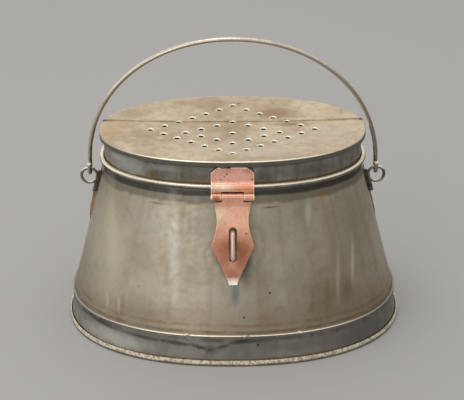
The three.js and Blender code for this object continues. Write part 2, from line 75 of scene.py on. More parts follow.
MM = 0.001
MERGE_DISTANCE = 0.002 * MM
BEVEL_MERGE_DISTANCE = 0.0005 * MM
CUT_TOLERANCE = 0.001 * MM
SHORTEST_EDGE = 0.05 * MM
EDGE_SCALE = 1.25 * MM
SMOOTH_ANGLE = math.radians(32)
FLAT_FACE = 0.5
ROUND_STEPS = 240
Piece = bpy.types.Object
Material = bpy.types.Material
Socket = bpy.types.NodeSocket
Tree = bpy.types.NodeTree
Profile = list[tuple[float, float]]
Colour = tuple[float, float, float]


class Carrier(Enum):
    """The bodies that pieces ride on."""

    BODY = "tin_body"
    LID = "lid"
    HASP = "hasp"
    BAIL = "bail"


class Stock(Enum):
    """The record's material slots."""

    TIN = "tin_body"
    DARK_TIN = "tin_dark"
    LID_TIN = "tin_lid"
    COPPER = "copper"
    WIRE = "steel_wire"


class Side(Enum):
    """The tin's two short sides."""

    RIGHT = 1
    LEFT = -1

    @property
    def word(self) -> str:
        """The side's name as node names give it."""
        return self.name.lower()


def high(node: str) -> Vector:
    """The highest corner of a node's box."""
    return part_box(node)[1]


def low(node: str) -> Vector:
    """The lowest corner of a node's box."""
    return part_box(node)[0]


def smooth_share(value: float, start: float, end: float) -> float:
    """The share, from 0 to 1, that a value has gone from start to end, eased at both."""
    share = min(1.0, max(0.0, (value - start) / (end - start)))
    return share * share * (3 - 2 * share)


def lerp(start: float, end: float, share: float) -> float:
    """The value at a share of the way from start to end."""
    return start + (end - start) * share


def signed_power(value: float, power: float) -> float:
    """A power of the value's size, with the value's sign."""
    return math.copysign(abs(value) ** power, value)


@dataclass(frozen=True)
class Oval:
    """The tin's outline, fuller than an ellipse, which grows rounder from the neck to the foot."""

    power: float = 2.22
    foot_excess: float = field(default_factory=lambda: high("bottom_plate").x - high("bottom_plate").y)
    neck_excess: float = field(default_factory=lambda: high("lid_skirt").x - high("lid_skirt").y)
    foot_height: float = field(default_factory=lambda: high("foot_band").z)
    neck_height: float = 115 * MM
    core: float = 76.1 * MM

    def half_depth(self, half_width: float, height: float) -> float:
        """The half depth of the outline that has this half width.

        Args:
            half_width: The outline's half width.
            height: Its height above the floor.

        Returns:
            The half depth.
        """
        share = (height - self.foot_height) / (self.neck_height - self.foot_height)
        excess = lerp(self.foot_excess, self.neck_excess, min(1.0, max(0.0, share)))
        return half_width - excess * min(1.0, half_width / self.core)

    def point(self, half_width: float, angle: float, height: float) -> Vector:
        """The outline's point at an angle.

        Args:
            half_width: The outline's half width.
            angle: The angle of a round outline's point, in radians from +X.
            height: The height above the floor.

        Returns:
            The point.
        """
        power = 2 / self.power
        return Vector((
            half_width * signed_power(math.cos(angle), power),
            self.half_depth(half_width, height) * signed_power(math.sin(angle), power),
            height,
        ))


OVAL = Oval()


@dataclass(frozen=True)
class TinShape:
    """The driving sizes that several sub-assemblies share."""

    tin: float = 0.6 * MM
    copper: float = 0.9 * MM
    solder: float = 0.3 * MM
    wall_top: float = 115 * MM
    wall_top_half_width: float = 85.45 * MM
    wall_turn: float = 22 * MM
    wall_turn_half_width: float = 109.9 * MM
    skirt_half_width: float = 86.05 * MM
    lid_top: float = 135 * MM
    bead_radius: float = 1.85 * MM
    bead_height: float = 116.7 * MM
    hinge_height: float = field(default_factory=lambda: (high("hasp_pin").z + low("hasp_pin").z) / 2)
    hinge_depth: float = field(default_factory=lambda: (high("hinge_pin").y + low("hinge_pin").y) / 2)
    pin_radius: float = field(default_factory=lambda: (high("hasp_pin").z - low("hasp_pin").z) / 2)
    leaf_width: float = field(default_factory=lambda: high("hasp_leaf").x - low("hasp_leaf").x)

    def wall_half_width(self, height: float) -> float:
        """The half width of the flared wall's outside at a height."""
        share = (self.wall_top - height) / (self.wall_top - self.wall_turn)
        return lerp(self.wall_top_half_width, self.wall_turn_half_width, share)

    def wall_half_depth(self, height: float) -> float:
        """The half depth of the flared wall's outside at a height."""
        return OVAL.half_depth(self.wall_half_width(height), height)

    @property
    def knuckle_radius(self) -> float:
        """From a hinge's axis to the middle of the sheet round its pin."""
        return self.pin_radius + self.solder + self.copper / 2


SHAPE = TinShape()


# Modelling


def deselect_all() -> None:
    """Clears the selection in object mode."""
    bpy.ops.object.select_all(action="DESELECT")


def pick(piece: Piece) -> None:
    """Makes a piece the only one selected, and active."""
    deselect_all()
    piece.select_set(True)
    bpy.context.view_layer.objects.active = piece


@contextmanager
def editing(piece: Piece) -> Iterator[None]:
    """Edit mode on one piece, with all of it selected.

    Args:
        piece: The piece to edit.

    Yields:
        Nothing; object mode comes back at the end.
    """
    pick(piece)
    bpy.ops.object.mode_set(mode="EDIT")
    bpy.ops.mesh.select_all(action="SELECT")
    yield
    bpy.ops.object.mode_set(mode="OBJECT")


def select_points(piece: Piece, wanted: Callable[[Vector], bool]) -> None:
    """Selects a piece's points by their place, in edit mode.

    Args:
        piece: The piece in edit mode.
        wanted: Says whether a point is wanted.
    """
    bpy.ops.mesh.select_mode(type="VERT")
    mesh = bmesh.from_edit_mesh(piece.data)
    for vertex in mesh.verts:
        vertex.select = wanted(vertex.co)
    mesh.select_flush_mode()
    bmesh.update_edit_mesh(piece.data)


def move_points(piece: Piece, place: Callable[[Vector], Vector]) -> None:
    """Moves every point of a piece.

    Args:
        piece: The piece, in object mode.
        place: Gives a point's new place from its old one.
    """
    for vertex in piece.data.vertices:
        vertex.co = place(vertex.co)
    piece.data.update()


def push_points(piece: Piece, push: Callable[[Vector, Vector], Vector]) -> None:
    """Moves every point of a piece by an offset.

    Args:
        piece: The piece, in object mode.
        push: Gives a point's offset from its place and its normal.
    """
    normals = [vertex.normal.copy() for vertex in piece.data.vertices]
    for vertex, normal in zip(piece.data.vertices, normals):
        vertex.co += push(vertex.co, normal)
    piece.data.update()


def apply_modifier(piece: Piece, kind: str, **settings: object) -> None:
    """Adds a modifier with its settings and applies it.

    Args:
        piece: The piece to finish.
        kind: The modifier's type.
        **settings: The modifier's own settings.
    """
    pick(piece)
    modifier = piece.modifiers.new(kind.lower(), kind)
    for name, value in settings.items():
        setattr(modifier, name, value)
    bpy.ops.object.modifier_apply(modifier=modifier.name)


def tidy_faces(piece: Piece) -> None:
    """Merges doubled points and turns the faces outwards."""
    with editing(piece):
        bpy.ops.mesh.remove_doubles(threshold=MERGE_DISTANCE)
        bpy.ops.mesh.normals_make_consistent(inside=False)


def thicken(piece: Piece, thickness: float, offset: float = 0.0) -> None:
    """Gives a sheet its thickness, inwards with an offset of -1 and outwards with 1."""
    apply_modifier(piece, "SOLIDIFY", thickness=thickness, offset=offset, use_even_offset=True)


def soften_edges(piece: Piece, width: float, segments: int = 2, angle: float = 40.0) -> None:
    """Rounds a piece's sharp edges, and merges the points that the rounding leaves on one another.

    Args:
        piece: The piece.
        width: The bevel's width.
        segments: Its segments.
        angle: The least bend that counts as an edge, in degrees.
    """
    apply_modifier(
        piece,
        "BEVEL",
        width=width,
        segments=segments,
        limit_method="ANGLE",
        angle_limit=math.radians(angle),
        use_clamp_overlap=True,
    )
    with editing(piece):
        bpy.ops.mesh.remove_doubles(threshold=BEVEL_MERGE_DISTANCE)


def cut(piece: Piece, tool: Piece) -> None:
    """Cuts a piece with a tool, and removes the tool."""
    apply_modifier(piece, "BOOLEAN", operation="DIFFERENCE", object=tool, solver="EXACT")
    bpy.data.objects.remove(tool, do_unlink=True)


def block(low_corner: Sequence[float], high_corner: Sequence[float]) -> Piece:
    """A cutting block between two corners.

    Args:
        low_corner: Its lowest corner.
        high_corner: Its highest corner.

    Returns:
        The block.
    """
    deselect_all()
    size = [b - a for a, b in zip(low_corner, high_corner)]
    middle = [(a + b) / 2 for a, b in zip(low_corner, high_corner)]
    bpy.ops.mesh.primitive_cube_add(size=1, location=middle)
    tool = bpy.context.object
    with editing(tool):
        bpy.ops.transform.resize(value=size, center_override=middle)
    settle(tool)
    return tool


def settle(piece: Piece) -> None:
    """Moves a piece's place into its mesh, so its object stands at the origin."""
    pick(piece)
    bpy.ops.object.transform_apply(location=True, rotation=True, scale=True)


def turned(
    name: str, profile: Profile, closed: bool = False, filled: bool = False, steps: int = ROUND_STEPS
) -> Piece:
    """Raises a round shell ring by ring from a circle.

    Args:
        name: The piece's name.
        profile: Its rings, as pairs of half width and height.
        closed: Whether the last ring is bridged to the first.
        filled: Whether a face fills the last ring.
        steps: The faces round a ring.

    Returns:
        The shell, still round.
    """
    deselect_all()
    radius, height = profile[0]
    bpy.ops.mesh.primitive_circle_add(vertices=steps, radius=radius, location=(0, 0, height))
    piece = bpy.context.object
    piece.name = name
    settle(piece)
    with editing(piece):
        bpy.ops.mesh.select_mode(type="EDGE")
        for (near, below), (far, above) in pairwise(profile):
            bpy.ops.mesh.extrude_edges_move(TRANSFORM_OT_translate={"value": (0, 0, above - below)})
            bpy.ops.transform.resize(value=(far / near, far / near, 1), center_override=(0, 0, above))
        if filled:
            bpy.ops.mesh.edge_face_add()
        if closed:
            bpy.ops.mesh.select_all(action="DESELECT")
            bpy.ops.mesh.select_non_manifold()
            bpy.ops.mesh.bridge_edge_loops()
        bpy.ops.mesh.select_all(action="SELECT")
        bpy.ops.mesh.normals_make_consistent(inside=False)
    return piece


def press_oval(piece: Piece, inset: Callable[[float], float] = lambda angle: 0.0) -> None:
    """Presses a round shell into the tin's oval.

    Args:
        piece: The round shell.
        inset: How far the outline is drawn in at an angle.
    """

    def place(point: Vector) -> Vector:
        """The oval's place for a round shell's point."""
        angle = math.atan2(point.y, point.x)
        return OVAL.point(math.hypot(point.x, point.y) - inset(angle), angle, point.z)

    move_points(piece, place)


def keep_side(piece: Piece, place: Sequence[float], outward: Sequence[float]) -> None:
    """Cuts away what lies past a plane.

    Args:
        piece: The piece.
        place: A point on the plane.
        outward: The plane's normal, towards what goes.
    """
    with editing(piece):
        bpy.ops.mesh.bisect(
            plane_co=place, plane_no=Vector(outward).normalized(), clear_outer=True, threshold=CUT_TOLERANCE
        )


def score(piece: Piece, place: Sequence[float], normal: Sequence[float]) -> None:
    """Adds an edge line where a plane meets a piece."""
    with editing(piece):
        bpy.ops.mesh.bisect(plane_co=place, plane_no=normal, threshold=CUT_TOLERANCE)


def unevenness(piece: Piece, depth: float, size: float, seed: float = 0.0) -> None:
    """Gives a surface the slight waves of sheet worked by hand.

    Args:
        piece: The piece.
        depth: The most that a point moves.
        size: The waves' length.
        seed: Shifts the pattern.
    """
    shift = Vector((seed, seed * 0.7, -seed))

    def wave(point: Vector, normal: Vector) -> Vector:
        """The offset that the waves give a point."""
        height = noise.fractal(point / size + shift, 1.0, 2.0, 3)
        return normal * max(-1.0, min(1.0, height)) * depth

    push_points(piece, wave)


def arc(centre: tuple[float, float], radius: float, start: float, end: float, step: float) -> Profile:
    """Points on an arc.

    Args:
        centre: Its centre.
        radius: Its radius.
        start: Its first angle in degrees.
        end: Its last angle in degrees.
        step: About how far apart the points are, in degrees.

    Returns:
        The points.
    """
    steps = max(1, round(abs(end - start) / step))
    angles = [math.radians(lerp(start, end, i / steps)) for i in range(steps + 1)]
    return [(centre[0] + radius * math.cos(a), centre[1] + radius * math.sin(a)) for a in angles]


def stepped(line: Profile, spacing: float) -> Profile:
    """A line with points added so that no step is longer than the spacing.

    Args:
        line: The line's points.
        spacing: The longest step.

    Returns:
        The finer line.
    """
    fine = [line[0]]
    for (x0, y0), (x1, y1) in pairwise(line):
        steps = max(1, math.ceil(math.hypot(x1 - x0, y1 - y0) / spacing))
        fine += [(lerp(x0, x1, i / steps), lerp(y0, y1, i / steps)) for i in range(1, steps + 1)]
    return fine


def bent_strip(name: str, line: Profile, width: float, columns: int) -> Piece:
    """Draws a strip row by row along a line across the front of the tin.

    Args:
        name: The piece's name.
        line: Its line, as pairs of distance forward and height.
        width: Its width.
        columns: The number of faces across.

    Returns:
        The strip, without thickness.
    """
    deselect_all()
    bpy.ops.mesh.primitive_plane_add(size=width)
    piece = bpy.context.object
    piece.name = name
    forward, height = line[0]
    with editing(piece):
        select_points(piece, lambda point: point.y > 0)
        bpy.ops.mesh.delete(type="VERT")
        bpy.ops.mesh.select_all(action="SELECT")
        bpy.ops.mesh.subdivide(number_cuts=columns - 1)
        bpy.ops.mesh.select_all(action="SELECT")
        bpy.ops.transform.translate(value=(0, width / 2 - forward, height))
        bpy.ops.mesh.select_mode(type="EDGE")
        for (near, below), (far, above) in pairwise(line):
            move = (0, near - far, above - below)
            bpy.ops.mesh.extrude_edges_move(TRANSFORM_OT_translate={"value": move})
    return piece


def wire_along(name: str, route: Sequence[Vector], radius: float, rings: int = 4) -> Piece:
    """Bends a round wire along a route.

    Args:
        name: The piece's name.
        route: The points of its middle line.
        radius: Its radius.
        rings: The bevel's resolution.

    Returns:
        The wire, with softened ends.
    """
    deselect_all()
    bpy.ops.curve.primitive_nurbs_path_add()
    piece = bpy.context.object
    piece.name = name
    curve = piece.data
    curve.splines.clear()
    spline = curve.splines.new("POLY")
    spline.points.add(len(route) - 1)
    for place, point in zip(route, spline.points):
        point.co = (*place, 1)
    curve.bevel_depth = radius
    curve.bevel_resolution = rings
    curve.use_fill_caps = True
    pick(piece)
    bpy.ops.object.convert(target="MESH")
    piece = bpy.context.object
    tidy_faces(piece)
    soften_edges(piece, radius * 0.45, 3, 60)
    return piece


def lump(place: Vector, reach: Sequence[float], seed: float) -> Piece:
    """A frozen drop of solder.

    Args:
        place: Its middle.
        reach: Its half sizes along X, Y and Z.
        seed: Shifts its unevenness.

    Returns:
        The drop.
    """
    deselect_all()
    bpy.ops.mesh.primitive_ico_sphere_add(subdivisions=4, radius=1)
    piece = bpy.context.object
    with editing(piece):
        bpy.ops.transform.resize(value=reach, center_override=(0, 0, 0))
        bpy.ops.transform.translate(value=place)
    unevenness(piece, min(reach) * 0.45, max(reach) * 0.7, seed)
    return piece


def join_up(name: str, parts: Sequence[Piece]) -> Piece:
    """Joins parts into one piece.

    Args:
        name: The piece's name.
        parts: Its parts.

    Returns:
        The joined piece.
    """
    deselect_all()
    for part in parts:
        part.select_set(True)
    bpy.context.view_layer.objects.active = parts[0]
    bpy.ops.object.join()
    parts[0].name = name
    return parts[0]


def copy_of(piece: Piece, name: str, change: Matrix) -> Piece:
    """A copy with its own mesh, moved.

    Args:
        piece: The piece to copy.
        name: The copy's name.
        change: Where the copy goes.

    Returns:
        The copy.
    """
    pick(piece)
    bpy.ops.object.duplicate()
    copy = bpy.context.object
    copy.name = name
    copy.data.transform(change)
    return copy


def mark_edges(piece: Piece) -> None:
    """Writes how tightly the surface bends outwards at each point, for the finishes' rubbed edges and painted
    edge highlights.
    """
    mesh = bmesh.new()
    mesh.from_mesh(piece.data)
    mesh.normal_update()
    values = []
    for vertex in mesh.verts:
        steps = [vertex.co - edge.other_vert(vertex).co for edge in vertex.link_edges]
        bends = [2 * step.dot(vertex.normal) / max(step.length_squared, SHORTEST_EDGE**2) for step in steps]
        tightest = max([0.0, *bends])
        values.append(1 - math.exp(-tightest * EDGE_SCALE))
    mesh.free()
    attribute = piece.data.attributes.new("edge", "FLOAT", "POINT")
    attribute.data.foreach_set("value", values)


@dataclass(frozen=True)
class Place:
    """Where a finished piece belongs."""

    carrier: Carrier
    stock: Stock
    node: str | None = None


def hand_over(piece: Piece, material: Material, place: Place) -> None:
    """Dresses a piece, rides it on its body and lets it stand for its node.

    Args:
        piece: The finished mesh.
        material: Its finish.
        place: Its body, slot and node.
    """
    settle(piece)
    mark_edges(piece)
    piece.data.materials.clear()
    piece.data.materials.append(material)
    pick(piece)
    bpy.ops.object.shade_smooth_by_angle(angle=SMOOTH_ANGLE)
    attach(piece, place.carrier.value)
    if place.node:
        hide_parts(place.node)
    log.info("%s on %s, %d faces", piece.name, place.carrier.value, len(piece.data.polygons))


# Finishes


def scaled(colour: Colour, share: float) -> Colour:
    """A colour made brighter or darker."""
    return tuple(channel * share for channel in colour)


def socket_label(keyword: str) -> str:
    """The label of the socket that a keyword names."""
    return keyword.replace("_", " ").capitalize()


class NodeBoard:
    """A node tree with short calls to add and link its nodes."""

    def __init__(self, tree: Tree) -> None:
        """Starts on a tree."""
        self.tree = tree

    def add(self, kind: str, *sources: object, **settings: object) -> bpy.types.Node:
        """Adds a node.

        Args:
            kind: Its type's name, without the leading ShaderNode.
            *sources: What its first inputs are fed with, in order.
            **settings: Its own settings.

        Returns:
            The node.
        """
        node = self.tree.nodes.new("ShaderNode" + kind)
        for name, value in settings.items():
            setattr(node, name, value)
        for socket, source in zip(node.inputs, sources):
            self.feed(socket, source)
        return node

    def feed(self, socket: Socket, source: object) -> None:
        """Links a socket to its source, or sets its value.

        Args:
            socket: The input socket.
            source: An output socket, a number, a vector or a colour.
        """
        if isinstance(source, Socket):
            self.tree.links.new(source, socket)
        elif isinstance(source, tuple) and len(source) == 3 and socket.type == "RGBA":
            socket.default_value = (*source, 1)
        else:
            socket.default_value = source

    def feed_named(self, node: bpy.types.Node, **inputs: object) -> Socket:
        """Feeds a node's inputs by their labels.

        Args:
            node: The node.
            **inputs: Its inputs, with underscores for spaces.

        Returns:
            Its first output's socket.
        """
        for keyword, source in inputs.items():
            self.feed(node.inputs[socket_label(keyword)], source)
        return node.outputs[0]

    def math(self, operation: str, first: object, second: object = 0.0) -> Socket:
        """The result of a math node on two values."""
        return self.add("Math", first, second, operation=operation).outputs[0]

    def times(self, *values: object) -> object:
        """The product of one or more values."""
        return reduce(lambda product, value: self.math("MULTIPLY", product, value), values)

    def plus(self, first: object, second: object) -> Socket:
        """The sum of two values."""
        return self.math("ADD", first, second)

    def minus(self, first: object, second: object) -> Socket:
        """What is left of the first value without the second."""
        return self.math("SUBTRACT", first, second)

    def squares(self, first: object, second: object) -> Socket:
        """The sum of two values' squares."""
        return self.plus(self.times(first, first), self.times(second, second))

    def split(self, vector: object) -> Sequence[Socket]:
        """A vector's X, Y and Z."""
        return self.add("SeparateXYZ", vector).outputs

    def vector(self, x: object, y: object, z: object) -> Socket:
        """The vector of an X, a Y and a Z."""
        return self.add("CombineXYZ", x, y, z).outputs[0]

    def coordinates(self, kind: str) -> Socket:
        """Texture coordinates of one kind."""
        return self.add("TexCoord").outputs[kind]

    def ramp(self, value: object, start: object, end: object, low: float = 0, high: float = 1) -> Socket:
        """Eases from low to high as a value goes from start to end."""
        return self.add("MapRange", value, start, end, low, high, interpolation_type="SMOOTHSTEP").outputs[0]

    def mix(self, share: object, first: object, second: object) -> Socket:
        """Mixes two colours.

        Args:
            share: How much of the second.
            first: The first colour.
            second: The second colour.

        Returns:
            The colour's socket.
        """
        node = self.add("Mix", share, data_type="RGBA")
        # The node's sockets for colours, by number because their names are shared with other kinds.
        self.feed(node.inputs[6], first)
        self.feed(node.inputs[7], second)
        return node.outputs[2]

    def noise(self, vector: object, scale: object, detail: float = 3, rough: float = 0.55) -> Socket:
        """A noise texture's value."""
        texture = self.add("TexNoise")
        return self.feed_named(texture, vector=vector, scale=scale, detail=detail, roughness=rough)

    def group(self, tree: Tree, **inputs: object) -> Socket:
        """The mask of a shared effect, whose inputs are named with underscores for spaces."""
        return self.feed_named(self.add("Group", node_tree=tree), **inputs)


def effect(name: str, **inputs: float | tuple[float, float, float] | None) -> tuple[NodeBoard, list[Socket]]:
    """Starts a shared effect with a Mask output.

    Args:
        name: The node group's name.
        **inputs: Its inputs' default values, with None for coordinates.

    Returns:
        The board to build on and the sockets of the inputs, in order.
    """
    tree = bpy.data.node_groups.new(name, "ShaderNodeTree")
    for keyword, value in inputs.items():
        kind = "NodeSocketFloat" if isinstance(value, float) else "NodeSocketVector"
        socket = tree.interface.new_socket(socket_label(keyword), in_out="INPUT", socket_type=kind)
        if value is not None:
            socket.default_value = value
    tree.interface.new_socket("Mask", in_out="OUTPUT", socket_type="NodeSocketFloat")
    given = tree.nodes.new("NodeGroupInput")
    return NodeBoard(tree), list(given.outputs)[: len(inputs)]


def close_effect(board: NodeBoard, mask: Socket) -> Tree:
    """Ends a shared effect.

    Args:
        board: The effect's board.
        mask: What it puts out.

    Returns:
        The node group.
    """
    output = board.tree.nodes.new("NodeGroupOutput")
    board.tree.links.new(mask, output.inputs[0])
    return board.tree


class Effects:
    """The effects that more than one finish uses, each built once."""

    def __init__(self) -> None:
        """Builds the effects."""
        self.clouds = self.make_clouds()
        self.wipes = self.make_wipes()
        self.wear_and_highlight = self.make_wear_and_highlight()
        self.specks = self.make_specks()
        self.blot = self.make_blot()
        self.slopes = self.make_slopes()

    @staticmethod
    def make_clouds() -> Tree:
        """Soft blotches of patina, as a mask."""
        board, (vector, scale, start, end) = effect(
            "patina_clouds", vector=None, scale=40.0, low=0.4, high=0.65
        )
        return close_effect(board, board.ramp(board.noise(vector, scale, 5, 0.62), start, end))

    @staticmethod
    def make_wipes() -> Tree:
        """Streaks that run down the wall, spaced round the oval, as a mask."""
        board, (vector, spacing, length, start, end) = effect(
            "vertical_wipes", vector=None, spacing=30.0, length=0.12, low=0.45, high=0.7
        )
        x, y, z = board.split(vector)
        outward = board.add("VectorMath", board.vector(x, board.times(y, 1.4), 0.0), operation="NORMALIZE")
        outward_x, outward_y, _ = board.split(outward.outputs[0])
        wrap = board.vector(outward_x, outward_y, board.times(z, length, 10.0))
        return close_effect(board, board.ramp(board.noise(wrap, spacing, 4, 0.6), start, end))

    @staticmethod
    def make_wear_and_highlight() -> Tree:
        """Rubbed metal along edges, with a painted highlight on the edges that face upward, as a mask."""
        board, (vector, start, end, breaks, under) = effect(
            "edge_wear_and_highlight", vector=None, low=0.1, high=0.35, breaks=0.25, under=-0.45
        )
        edge = board.add("Attribute", attribute_name="edge").outputs["Fac"]
        broken = board.minus(board.noise(vector, 420.0, 3, 0.6), 0.5)
        worn_and_lit = board.ramp(board.plus(edge, board.times(broken, breaks)), start, end)
        # Only the edges that face upward are kept: this part paints a highlight for light from above.
        _, _, upward = board.split(board.coordinates("Normal"))
        rubbed = board.ramp(upward, under, board.plus(under, 0.35))
        return close_effect(board, board.times(worn_and_lit, rubbed))

    @staticmethod
    def make_slopes() -> Tree:
        """Where a surface leans away from the way that Way points, as a mask."""
        board, (way, level, steep) = effect("leaning_faces", way=(0, 0, 1), level=0.98, steep=0.6)
        facing = board.add("VectorMath", board.coordinates("Normal"), way, operation="DOT_PRODUCT")
        return close_effect(board, board.ramp(facing.outputs["Value"], level, steep))

    @staticmethod
    def make_blot() -> Tree:
        """A soft ragged blot seen from one side, placed by its two coordinates there, as a mask."""
        board, (vector, across, up, reach_across, reach_up, ragged, hollow, turn) = effect(
            "soft_blot",
            vector=None,
            across=0.0,
            up=0.07,
            reach_across=0.01,
            reach_up=0.02,
            ragged=0.4,
            hollow=0.0,
            turn=0.0,
        )
        x, y, z = board.split(vector)
        beside, above = board.minus(x, across), board.minus(z, up)
        cos, sin = (board.math(name, turn) for name in ("COSINE", "SINE"))
        along = board.plus(board.times(beside, cos), board.times(above, sin))
        over = board.minus(board.times(above, cos), board.times(beside, sin))
        along, over = board.math("DIVIDE", along, reach_across), board.math("DIVIDE", over, reach_up)
        frayed = board.times(board.minus(board.noise(vector, 160.0, 4, 0.65), 0.5), ragged)
        away = board.plus(board.math("SQRT", board.squares(along, over)), frayed)
        emptied = board.times(board.ramp(away, 0.8, 0.4), hollow)
        front = board.ramp(y, 0.004, -0.004)
        return close_effect(board, board.times(board.minus(board.ramp(away, 1.1, 0.1), emptied), front))

    @staticmethod
    def make_specks() -> Tree:
        """Small dark specks, as a mask."""
        board, (vector, scale, size) = effect("dark_specks", vector=None, scale=60.0, size=0.1)
        distance = board.feed_named(board.add("TexVoronoi"), vector=vector, scale=scale)
        reach = board.times(board.ramp(board.noise(vector, 35.0, 2, 0.5), 0.5, 0.75), size)
        return close_effect(board, board.math("LESS_THAN", distance, reach))


EFFECTS = Effects()
RUST = (0.30, 0.13, 0.04)
# Dark dirt, also used for painted shade and painted shadows.
GRIME_AND_SHADE = (0.05, 0.043, 0.033)
BROWN = (0.19, 0.125, 0.065)
# Colours of the painted reflections: soft vertical streaks of light on the wall.
PAINTED_WARM_REFLECTION = (0.62, 0.52, 0.36)
PAINTED_COOL_REFLECTION = (0.50, 0.49, 0.44)
SEAM_LINE = (0.17, 0.135, 0.09)


@dataclass(frozen=True)
class Blot:
    """A stain, a rubbed patch, or a painted highlight, reflection or shadow, seen from the front or from
    above.

    Its place and reach are in millimetres and its turn is in degrees.
    """

    across: float
    up: float
    reach_across: float
    reach_up: float
    colour: Colour
    share: float
    ragged: float = 0.5
    hollow: float = 0.0
    turn: float = 0.0


@dataclass(frozen=True)
class Zone:
    """A level band of another tone, between two heights in millimetres, soft by its edge."""

    low: float
    high: float
    edge: float
    colour: Colour
    share: float
    broken: float = 0.0


class Surface(NodeBoard):
    """A new material's board, on which the colour grows layer by layer."""

    def __init__(self, name: str, colour: Colour) -> None:
        """Starts a material.

        Args:
            name: Its name.
            colour: Its first colour.
        """
        self.material = bpy.data.materials.new(name)
        self.material.use_nodes = True
        super().__init__(self.material.node_tree)
        self.shader = self.tree.nodes["Principled BSDF"]
        self.where = self.coordinates("Object")
        self.x, self.y, self.z = self.split(self.where)
        self.colour: object = colour

    def lay(self, colour: Colour, *masks: object) -> None:
        """Lays another colour over the colour so far, as much as the masks' product says."""
        self.colour = self.mix(self.times(*masks), self.colour, colour)

    def clouds(self, scale: float, low: float, high: float) -> Socket:
        """Blotches of a scale, from thin at the low noise to full at the high, as a mask."""
        return self.group(EFFECTS.clouds, vector=self.where, scale=scale, low=low, high=high)

    def lay_zones(self, zones: Sequence[Zone]) -> None:
        """Lays level bands with wandering edges over the colour."""
        if not zones:
            return
        wander = self.times(self.minus(self.noise(self.where, 45.0, 3, 0.6), 0.5), 2.0 * MM)
        height = self.plus(self.z, wander)
        breaks = self.clouds(85.0, 0.42, 0.58)
        for zone in zones:
            above = self.ramp(height, (zone.low - zone.edge) * MM, (zone.low + zone.edge) * MM)
            below = self.ramp(height, (zone.high + zone.edge) * MM, (zone.high - zone.edge) * MM)
            masks = [above, below, zone.share]
            if zone.broken:
                masks.append(self.minus(1.0, self.times(breaks, zone.broken)))
            self.lay(zone.colour, *masks)

    def lay_blots(self, blots: Sequence[Blot], seen: Socket) -> None:
        """Lays stains, rubbed patches and painted highlights, reflections and shadows over the colour.

        Args:
            blots: The patches.
            seen: The coordinates, turned so that the patches are seen from the front.
        """
        for blot in blots:
            mask = self.group(
                EFFECTS.blot,
                vector=seen,
                across=blot.across * MM,
                up=blot.up * MM,
                reach_across=blot.reach_across * MM,
                reach_up=blot.reach_up * MM,
                ragged=blot.ragged,
                hollow=blot.hollow,
                turn=math.radians(blot.turn),
            )
            self.lay(blot.colour, mask, blot.share)

    def from_above(self) -> Socket:
        """Coordinates turned so that what lies rearward counts as up."""
        return self.vector(self.x, -1.0, self.y)

    def lid_rim(self) -> Socket:
        """Where the lid lies close to its rim, as a mask."""
        across = self.math("DIVIDE", self.x, high("lid_front_plate").x)
        along = self.math("DIVIDE", self.y, high("lid_rear_plate").y)
        return self.ramp(self.squares(across, along), 0.975, 0.99)

    def rubbed(self, rub: object, low: float, high: float) -> Socket:
        """A roughness that goes from low to high with the noise of the rubbing."""
        return self.ramp(rub, 0.3, 0.7, low, high)

    def close(self, metallic: float, rough: object, height: object, depth: float) -> Material:
        """Links the colour and the metal's skin to the shader.

        Args:
            metallic: How metallic the surface is.
            rough: Its roughness.
            height: Its grain's height.
            depth: How deep a height of 1 is.

        Returns:
            The material.
        """
        bump = self.feed_named(self.add("Bump"), strength=1.0, distance=depth, height=height)
        sources = {"Base Color": self.colour, "Metallic": metallic, "Roughness": rough, "Normal": bump}
        for label, source in sources.items():
            self.feed(self.shader.inputs[label], source)
        return self.material


